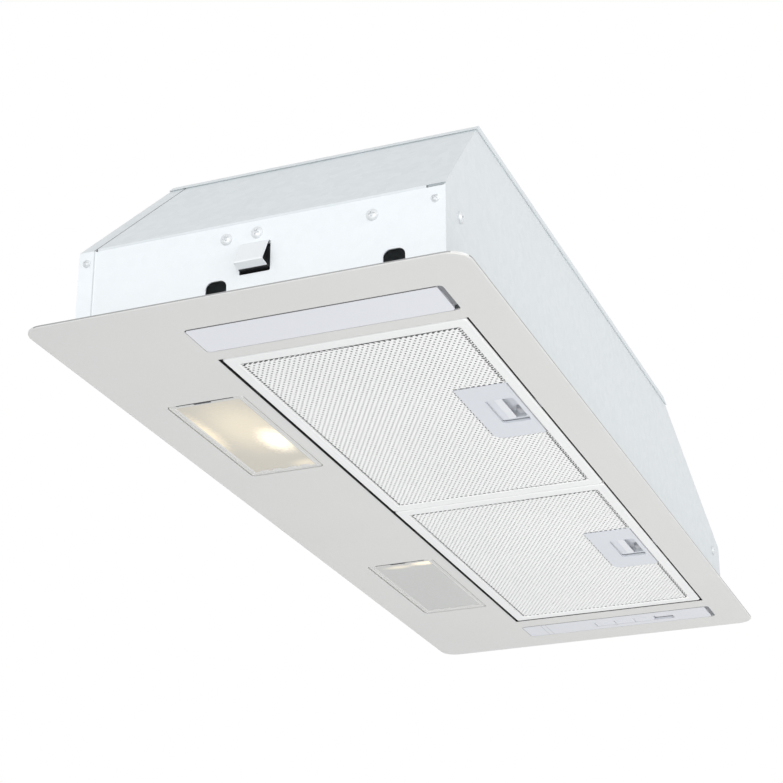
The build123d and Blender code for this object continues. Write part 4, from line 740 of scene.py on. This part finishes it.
# ---- lamps
LENS_SIZE, LENS_CORNER = (127.5, 51.9), 2.25
LENS_RIM = Block(LENS_SIZE, LENS_CORNER, (
    (0.0, 5.7), (0.0, 0.35), (0.3, 0.05), (1.3, 0.05), (1.6, 0.5), (2.1, 0.5), (2.4, 0.05), (3.3, 0.05), (3.8, 0.45),
    (4.0, 0.6), (4.0, 1.95), (1.3, 1.95), (1.3, 5.95), (0.3, 5.95)), closed=True)
LENS_FIELD = Block(LENS_SIZE, LENS_CORNER, ((4.03, 1.9), (4.03, 0.55), (4.4, 0.5)))
LENS_HOOK = Block((3.0, 7.0), 1.2, ((0.0, 0.7), (0.0, 0.3), (0.5, 0.08)))
PRY_NOTCH = Block((1.6, 12.0), 0.5, ((0.0, 0.4), (0.0, 0.02)))
PRY_GAP = Block((0.5, 40.0), 0.24, ((0.0, 0.4), (0.0, 0.02)))
HINGE_PIN = ((0, 0), (0, 1.2), (2.4, 1.2), (2.6, 1.0), (2.6, 0))


@dataclass
class Lamp:
    """One lamp: a hinged lens with a clear rim and a frosted field, and the candle bulb behind it."""

    end: End
    lens: GlowingLens
    bulb_light: float
    hook_places: Row = (-15.0, -5.5, 5.5, 15.0)
    hook_setback: float = 5.0
    pin_setback: Row = (3.8, 0.6)
    pin_height: float = 3.0
    notch_setback: Row = (1.15, 2.0)
    gap_setback: float = 0.28
    cap_length: float = 20.0
    cap_radius: float = 6.45
    thread_pitch: float = 2.8
    thread_depth: float = 0.3
    neck_radius: float = 6.8
    belly: float = 10.6
    x: float = field(init=False)
    y: float = field(init=False)

    def __post_init__(self) -> None:
        """Take the lens's middle from the CAD."""
        low, high = box_of(f"{self.end}_lamp_cover")
        self.x, self.y = (low[:2] + high[:2]) / 2

    def build(self) -> None:
        """Make the lens, the painted shade in its pry notch and gaps, and the bulb."""
        body = f"{self.end}_lamp_door"
        rim = mesh_piece(f"{self.end}_lens_rim", self.rim(), CLEAR_RIM, body)
        field_piece = mesh_piece(f"{self.end}_lens_field", LENS_FIELD.at(self.x, self.y), self.lens, body)
        # Dark blocks of painted shade in the pry notch and the gaps beside it.
        tab = mesh_piece(f"{self.end}_pry_tab", self.tab(), EDGE_SHADE, body)
        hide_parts(f"{self.end}_lamp_cover")
        self.bulb()

    def rim(self) -> Shape:
        """Clear border with two beads and the skirt, its hinge pins, and the hooks at its far end."""
        far_edge = self.x - LENS_SIZE[0] / 2
        parts = [LENS_RIM.at(self.x, self.y)]
        parts += [LENS_HOOK.at(far_edge + self.hook_setback, self.y + place) for place in self.hook_places]
        (back, inward), half_width = self.pin_setback, LENS_SIZE[1] / 2
        for side in (1, -1):
            root = (far_edge + back, self.y + side * (half_width - inward), self.pin_height)
            parts.append(lathe_shape(root, (0, side, 0), HINGE_PIN, turns=20))
        return joined(parts)

    def tab(self) -> Shape:
        """Painted shade: dark blocks in the notch for a fingernail at the middle of the near edge, and in the thin gap
        on either side of it.
        """
        near_edge = self.x + LENS_SIZE[0] / 2
        notch = PRY_NOTCH.at(near_edge - self.notch_setback[0], self.y - self.notch_setback[1])
        return joined([notch, PRY_GAP.at(near_edge - self.gap_setback, self.y)])

    def bulb(self) -> None:
        """Candle bulb turned round the holder's axis: a screw cap, then a bellied glass.

        The cap's radius is cap_radius + thread_depth * sin(2 pi s / thread_pitch) at a length s. The glass's radius
        at a share t of its length is (neck_radius + belly * sin(0.98 pi t) ** 1.15 * (1 - 0.12 t)) * sqrt(1 - t ** 7).
        """
        cap_end = self.cap_length
        low, high = box_of(f"{self.end}_lamp_bulb")
        origin = (high[0], (low[1] + high[1]) / 2, (low[2] + high[2]) / 2)
        place = np.linspace(0, cap_end, 41)
        thread = self.cap_radius + self.thread_depth * np.sin(2 * math.pi * place / self.thread_pitch)
        profile = [(0.0, 0.0), *zip(place, thread), (cap_end, 0.0)]
        cap = mesh_piece(f"{self.end}_bulb_cap", lathe_shape(origin, (-1, 0, 0), profile, turns=36), LAMP_CAP, "hood")
        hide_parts(f"{self.end}_lamp_bulb")
        share = np.linspace(0, 1, 40)
        radius = self.neck_radius + self.belly * np.sin(math.pi * share * 0.98) ** 1.15 * (1 - 0.12 * share)
        radius = radius * np.sqrt(1 - share ** 7)
        profile = [(cap_end, 0.0), *zip(cap_end + share * (high[0] - low[0] - cap_end), radius)]
        glass = mesh_piece(f"{self.end}_bulb_glass", lathe_shape(origin, (-1, 0, 0), profile, turns=48),
                           replace(BULB_GLASS, emission=self.bulb_light), "hood")


# ---- screws
LARGE_HEAD, SMALL_HEAD = 3.65, 2.45


@dataclass
class Screws:
    """One node's pan-head screws with cross recesses, in millimetres; normal is where their heads face."""

    node: str
    seats: Sequence[Row]
    normal: Row
    head_radii: Row = (LARGE_HEAD,) * 5
    head_height: float = 2.15
    head_fall: float = 0.62
    head_rings: int = 16
    points_round: int = 48
    shank_radius: float = 1.4
    shank_length: float = 6.4
    arm_half_width: float = 0.42
    arm_length: float = 2.0
    side_ramp: float = 0.25
    end_ramp: float = 0.3
    recess: float = 1.0
    first_turn: float = 25.0
    more_turn: float = 37.0

    def build(self) -> None:
        """Make all screws of the node as one piece."""
        shapes = [self.screw(seat, head_radius, math.radians(self.first_turn + self.more_turn * k))
                  for k, (seat, head_radius) in enumerate(zip(self.seats, self.head_radii))]
        piece = mesh_piece(f"{self.node}_cross", joined(shapes), SCREW_ZINC, "hood")
        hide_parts(self.node)

    def arm(self, across: np.ndarray, along: np.ndarray) -> np.ndarray:
        """Depth of one slot of the cross, as a share of the recess, at distances across and along the slot.

        It is 1 in the slot and 0 outside, with short ramps at the slot's sides and ends.
        """
        wide = np.clip((self.arm_half_width - np.abs(across)) / self.side_ramp + 0.5, 0, 1)
        return wide * np.clip((self.arm_length - np.abs(along)) / self.end_ramp, 0, 1)

    def screw(self, seat: Row, head_radius: float, turn: float) -> Shape:
        """One screw on a grid of distance from the axis and angle, with its head's underside on the seat.

        The head's height is H * (1 - head_fall * (r / R) ** 3), less the recess where one of the cross's two slots
        lies, along u or along v, with u and v the head's axes turned by an angle in radians.
        """
        out = np.array(self.normal, float)
        side, up = square_axes(out)
        head = np.linspace(0, 1, self.head_rings) * head_radius
        radius = np.concatenate([head, [head_radius, self.shank_radius, self.shank_radius, 0.0]])[:, None]
        angle = np.linspace(0, 2 * math.pi, self.points_round, endpoint=False)[None]
        u, v = radius * np.cos(angle - turn), radius * np.sin(angle - turn)
        dome = self.head_height * (1 - self.head_fall * (radius / head_radius) ** 3)
        height = dome - self.recess * np.maximum(self.arm(u, v), self.arm(v, u))
        height[self.head_rings:] = np.array([0.0, 0.0, -self.shank_length, -self.shank_length])[:, None]
        points = np.array(seat, float) + height[..., None] * out
        points = points + (radius * np.cos(angle))[..., None] * side + (radius * np.sin(angle))[..., None] * up
        return points * MM, grid_faces(*height.shape, wrap_columns=True).tolist()


SHEET, END_FACE, BACK_FACE = 0.8, 334.4, 116.7
BAND_SCREWS = ((-18.4, 49.4), (1.1, 50.2), (72.8, 47.4), (110.8, 50.4))
CORNER_SCREW, BACK_SCREW = (-110.2, 50.7), (309.4, 49.0)
COLLAR_MIDDLE, COLLAR_REACH, COLLAR_SEAT = (-56, 14), 86, 131.7
FAN_MIDDLE, FAN_SEAT, FAN_TABS = (168, 8), 128.7, (20.0, 325.0)
SPIRAL_RADIUS, SPIRAL_GROWTH, SPIRAL_START, SPIRAL_SWEEP, TAB_REACH = 77, 22, 130, 320, 5.4


def ring_seats(middle: Row, reach: np.ndarray | float, degrees: np.ndarray, height: float) -> list[list[float]]:
    """Places round a middle in plan, at one or several distances, at their angles and at one height."""
    turn = np.radians(degrees)
    x, y = middle[0] + reach * np.cos(turn), middle[1] + reach * np.sin(turn)
    return np.column_stack([x, y, np.full(len(turn), height)]).tolist()


def all_screws() -> list[Screws]:
    """The hood's screws, node by node, on the places that the CAD gives them.

    The blower's tabs lie TAB_REACH outside its spiral, whose radius at an angle is SPIRAL_RADIUS plus SPIRAL_GROWTH
    times the share of SPIRAL_SWEEP turned since SPIRAL_START.
    """
    screws = []
    for end in End:
        side = end.value
        seats = [(side * (END_FACE - SHEET), y, z) for y, z in BAND_SCREWS] + [(side * END_FACE, *CORNER_SCREW)]
        screws.append(Screws(f"{end}_end_screws", seats, (side, 0, 0), (LARGE_HEAD,) * 3 + (SMALL_HEAD,) * 2))
    back = [(side * BACK_SCREW[0], BACK_FACE, BACK_SCREW[1]) for side in (1, -1)]
    screws.append(Screws("back_screws", back, (0, 1, 0)))
    collar = ring_seats(COLLAR_MIDDLE, COLLAR_REACH, 45 + 90 * np.arange(4), COLLAR_SEAT)
    screws.append(Screws("collar_screws", collar, (0, 0, 1)))
    tabs = np.array(FAN_TABS)
    reach = SPIRAL_RADIUS + SPIRAL_GROWTH * ((tabs - SPIRAL_START) % 360) / SPIRAL_SWEEP + TAB_REACH
    screws.append(Screws("blower_screws", ring_seats(FAN_MIDDLE, reach, tabs, FAN_SEAT), (0, 0, 1)))
    return screws


# ---- strips and side springs
@dataclass
class SprungArm:
    """Grey sprung arm in the gap behind a strip, with the release hole left open at its far end; in millimetres."""

    name: str
    node: str
    opening: float
    hole: float = 5.0
    clearance: float = 1.0
    width: float = 2.7
    gap_middle: float = 109.25

    def build(self) -> None:
        """Make the arm: a ramp that falls from the strip's back edge into the gap."""
        low, high = box_of(self.node)
        length = self.opening - self.hole - self.clearance
        arm = Block((length, self.width), 0.5, ((0.0, 1.05), (0.0, 0.75), (0.35, 0.5), (1.0, 0.62)))
        shape = arm.at((low[0] + high[0]) / 2 + self.hole / 2, self.gap_middle)
        # The arm's plastic is darkened with painted shade of the gap.
        mesh_piece(self.name, shape, ARM_PLASTIC_AND_SHADE, "hood")


@dataclass
class SpringLeaf:
    """Bent leaf of steel that bulges out through the window in an end wall and grips the cabinet's cut-out.

    Its corners are rows of distance out from the wall and height, all in millimetres.
    """

    end: End
    width: float = 18.0
    sheet: float = 0.6
    bend: float = 1.5
    bend_points: int = 9
    corners: Sequence[Row] = ((-2.4, 44.8), (0.3, 43.7), (8.6, 28.0), (-4.9, 26.2))

    def line(self) -> np.ndarray:
        """Middle of the sheet.

        Each inner corner C is rounded from A to B, which lie a bend before and after it, by
        (1 - t) ** 2 * A + 2 * t * (1 - t) * C + t ** 2 * B.
        """
        corners = np.array(self.corners)
        t = np.linspace(0, 1, self.bend_points)[:, None]
        rows = [corners[:1]]
        for before, corner, after in zip(corners, corners[1:], corners[2:]):
            first, last = (corner + (end - corner) * self.bend / np.linalg.norm(end - corner)
                           for end in (before, after))
            rows.append((1 - t) ** 2 * first + 2 * t * (1 - t) * corner + t ** 2 * last)
        return np.concatenate([*rows, corners[-1:]])

    def build(self) -> None:
        """Carry the sheet's four edges along the line: half a sheet to either side, and half a width along Y."""
        line = self.line()
        run = np.gradient(line, axis=0)
        run /= np.linalg.norm(run, axis=1, keepdims=True)
        across = np.stack([-run[:, 1], run[:, 0]], axis=-1) * self.sheet / 2
        edges = []
        for face, y in ((1, -1), (1, 1), (-1, 1), (-1, -1)):
            out, height = (line + face * across).T
            x = self.end.value * (END_FACE + out)
            edges.append(np.stack([x, np.full(len(out), y * self.width / 2), height], axis=-1))
        points = np.stack(edges, axis=1) * MM
        last = 4 * (len(line) - 1)
        faces = grid_faces(len(line), 4, wrap_columns=True).tolist() + [[0, 1, 2, 3], [last + k for k in range(4)]]
        piece = mesh_piece(f"{self.end}_spring_leaf", (points, faces), SPRING_STEEL, f"{self.end}_clip")
        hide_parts(f"{self.end}_spring_clip")


# ---- studio
def placed(name: str, data: bpy.types.ID, axes: Sequence[Row], place: Row) -> Piece:
    """Link an object whose X, Y and Z point along three directions, at a place."""
    thing = linked(name, data)
    pose = np.eye(4)
    pose[:3, :3] = np.array(axes).T
    pose[:3, 3] = place
    thing.matrix_world = Matrix(pose.tolist())
    return thing


@dataclass(frozen=True)
class SoftBox:
    """Square soft light that shines at a target."""

    name: str
    place: Row
    size: float
    watts: float
    colour: Row = (1, 1, 1)
    target: Row = (0.0, 0.0, 0.05)

    def hang(self) -> None:
        """Make the light; its Z points back from the target."""
        data = bpy.data.lights.new(self.name, "AREA")
        data.shape = "SQUARE"
        data.size = self.size
        data.energy = self.watts
        data.color = self.colour
        back = np.array(self.place) - np.array(self.target)
        back /= np.linalg.norm(back)
        side = np.cross([0.0, 0.0, 1.0], back)
        side /= np.linalg.norm(side)
        placed(self.name, data, [side, np.cross(back, side), back], self.place)


@dataclass
class Studio:
    """Camera at the photograph's place, a white backdrop and soft light."""

    place: Row = (1.2699, 0.4525, -0.5039)
    right: Row = (-0.3667639, 0.93031233, -0.00178881)
    down: Row = (-0.37257513, -0.14864438, -0.91601999)
    forward: Row = (-0.85245059, -0.3352966, 0.40112863)
    focal_pixels: float = 2029.195
    sensor: float = 36.0
    floor_height: float = -1.4
    floor_half: float = 6.0
    world_colour: Row = (0.80, 0.83, 0.86)
    world_strength: float = 0.62
    lights: tuple[SoftBox, ...] = (
        SoftBox("end_softbox", (2.6, 0.2, -0.1), 2.4, 28),
        SoftBox("under_softbox", (-0.1, 0.5, -1.05), 1.3, 8.3, (1.0, 0.98, 0.95)),
        SoftBox("back_softbox", (0.6, 2.6, 0.5), 1.6, 18),
    )

    def camera(self) -> None:
        """Make the camera; its axes are the picture's right, up and the way back from the object."""
        data = bpy.data.cameras.new("photo_camera")
        data.sensor_width = self.sensor
        data.lens = self.sensor * self.focal_pixels / PHOTO_PIXELS
        axes = [self.right, -np.array(self.down), -np.array(self.forward)]
        bpy.context.scene.camera = placed("photo_camera", data, axes, self.place)

    def backdrop(self) -> None:
        """White world for the camera and for gloss, and a plain grey one for the light on the object."""
        world = bpy.data.worlds.new("backdrop")
        bpy.context.scene.world = world
        world.use_nodes = True
        work = NodeWork(world.node_tree)
        ray = work.add("LightPath").outputs
        seen = work.math("MAXIMUM", ray["Is Camera Ray"], ray["Is Transmission Ray"])
        seen = work.math("MAXIMUM", seen, ray["Is Glossy Ray"])
        light = work.add("Background", {"Color": (*self.world_colour, 1), "Strength": self.world_strength})
        white = work.add("Background", {"Color": (1, 1, 1, 1)})
        mix = work.add("MixShader", {0: seen, 1: light.outputs[0], 2: white.outputs[0]})
        work.add("OutputWorld", {"Surface": mix.outputs[0]})

    def floor(self) -> None:
        """Plain pale floor under the hood."""
        half, height = self.floor_half, self.floor_height
        corners = [(x * half, y * half, height) for x, y in ((-1, -1), (1, -1), (1, 1), (-1, 1))]
        mesh = bpy.data.meshes.new("floor")
        mesh.from_pydata(corners, [], [[0, 1, 2, 3]])
        work = ShaderTree("floor_pale")
        work.dress({"Base Color": (0.86, 0.86, 0.86, 1), "Roughness": 0.8})
        mesh.materials.append(work.material)
        floor = linked("floor", mesh)

    def build(self) -> None:
        """Set up camera, backdrop, floor and lights."""
        bpy.context.scene.view_settings.view_transform = "Standard"
        self.camera()
        self.backdrop()
        self.floor()
        for light in self.lights:
            light.hang()


def dress_cad_nodes() -> None:
    """Give every CAD node its finish."""
    for finish, names in CAD_FINISHES.items():
        nodes = sorted({name.replace("*", str(end)) for name in names for end in End})
        for node in nodes:
            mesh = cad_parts[node].data
            mesh.materials.clear()
            mesh.materials.append(finish.make())
        LOG.info("%s on %d nodes", finish.name, len(nodes))


def main() -> None:
    """Build the studio and every sub-assembly in order."""
    Studio().build()
    dress_cad_nodes()
    for end in End:
        FilterPad(end).build()
        SpringLeaf(end).build()
    Lamp(End.NEAR, NEAR_LENS, 2.2).build()
    Lamp(End.FAR, FAR_LENS, 1.2).build()
    for screws in all_screws():
        screws.build()
    SprungArm("blank_arm", "blank_strip", 33.0).build()
    SprungArm("control_arm", "control_strip", 29.0).build()


if __name__ == "__main__":
    main()
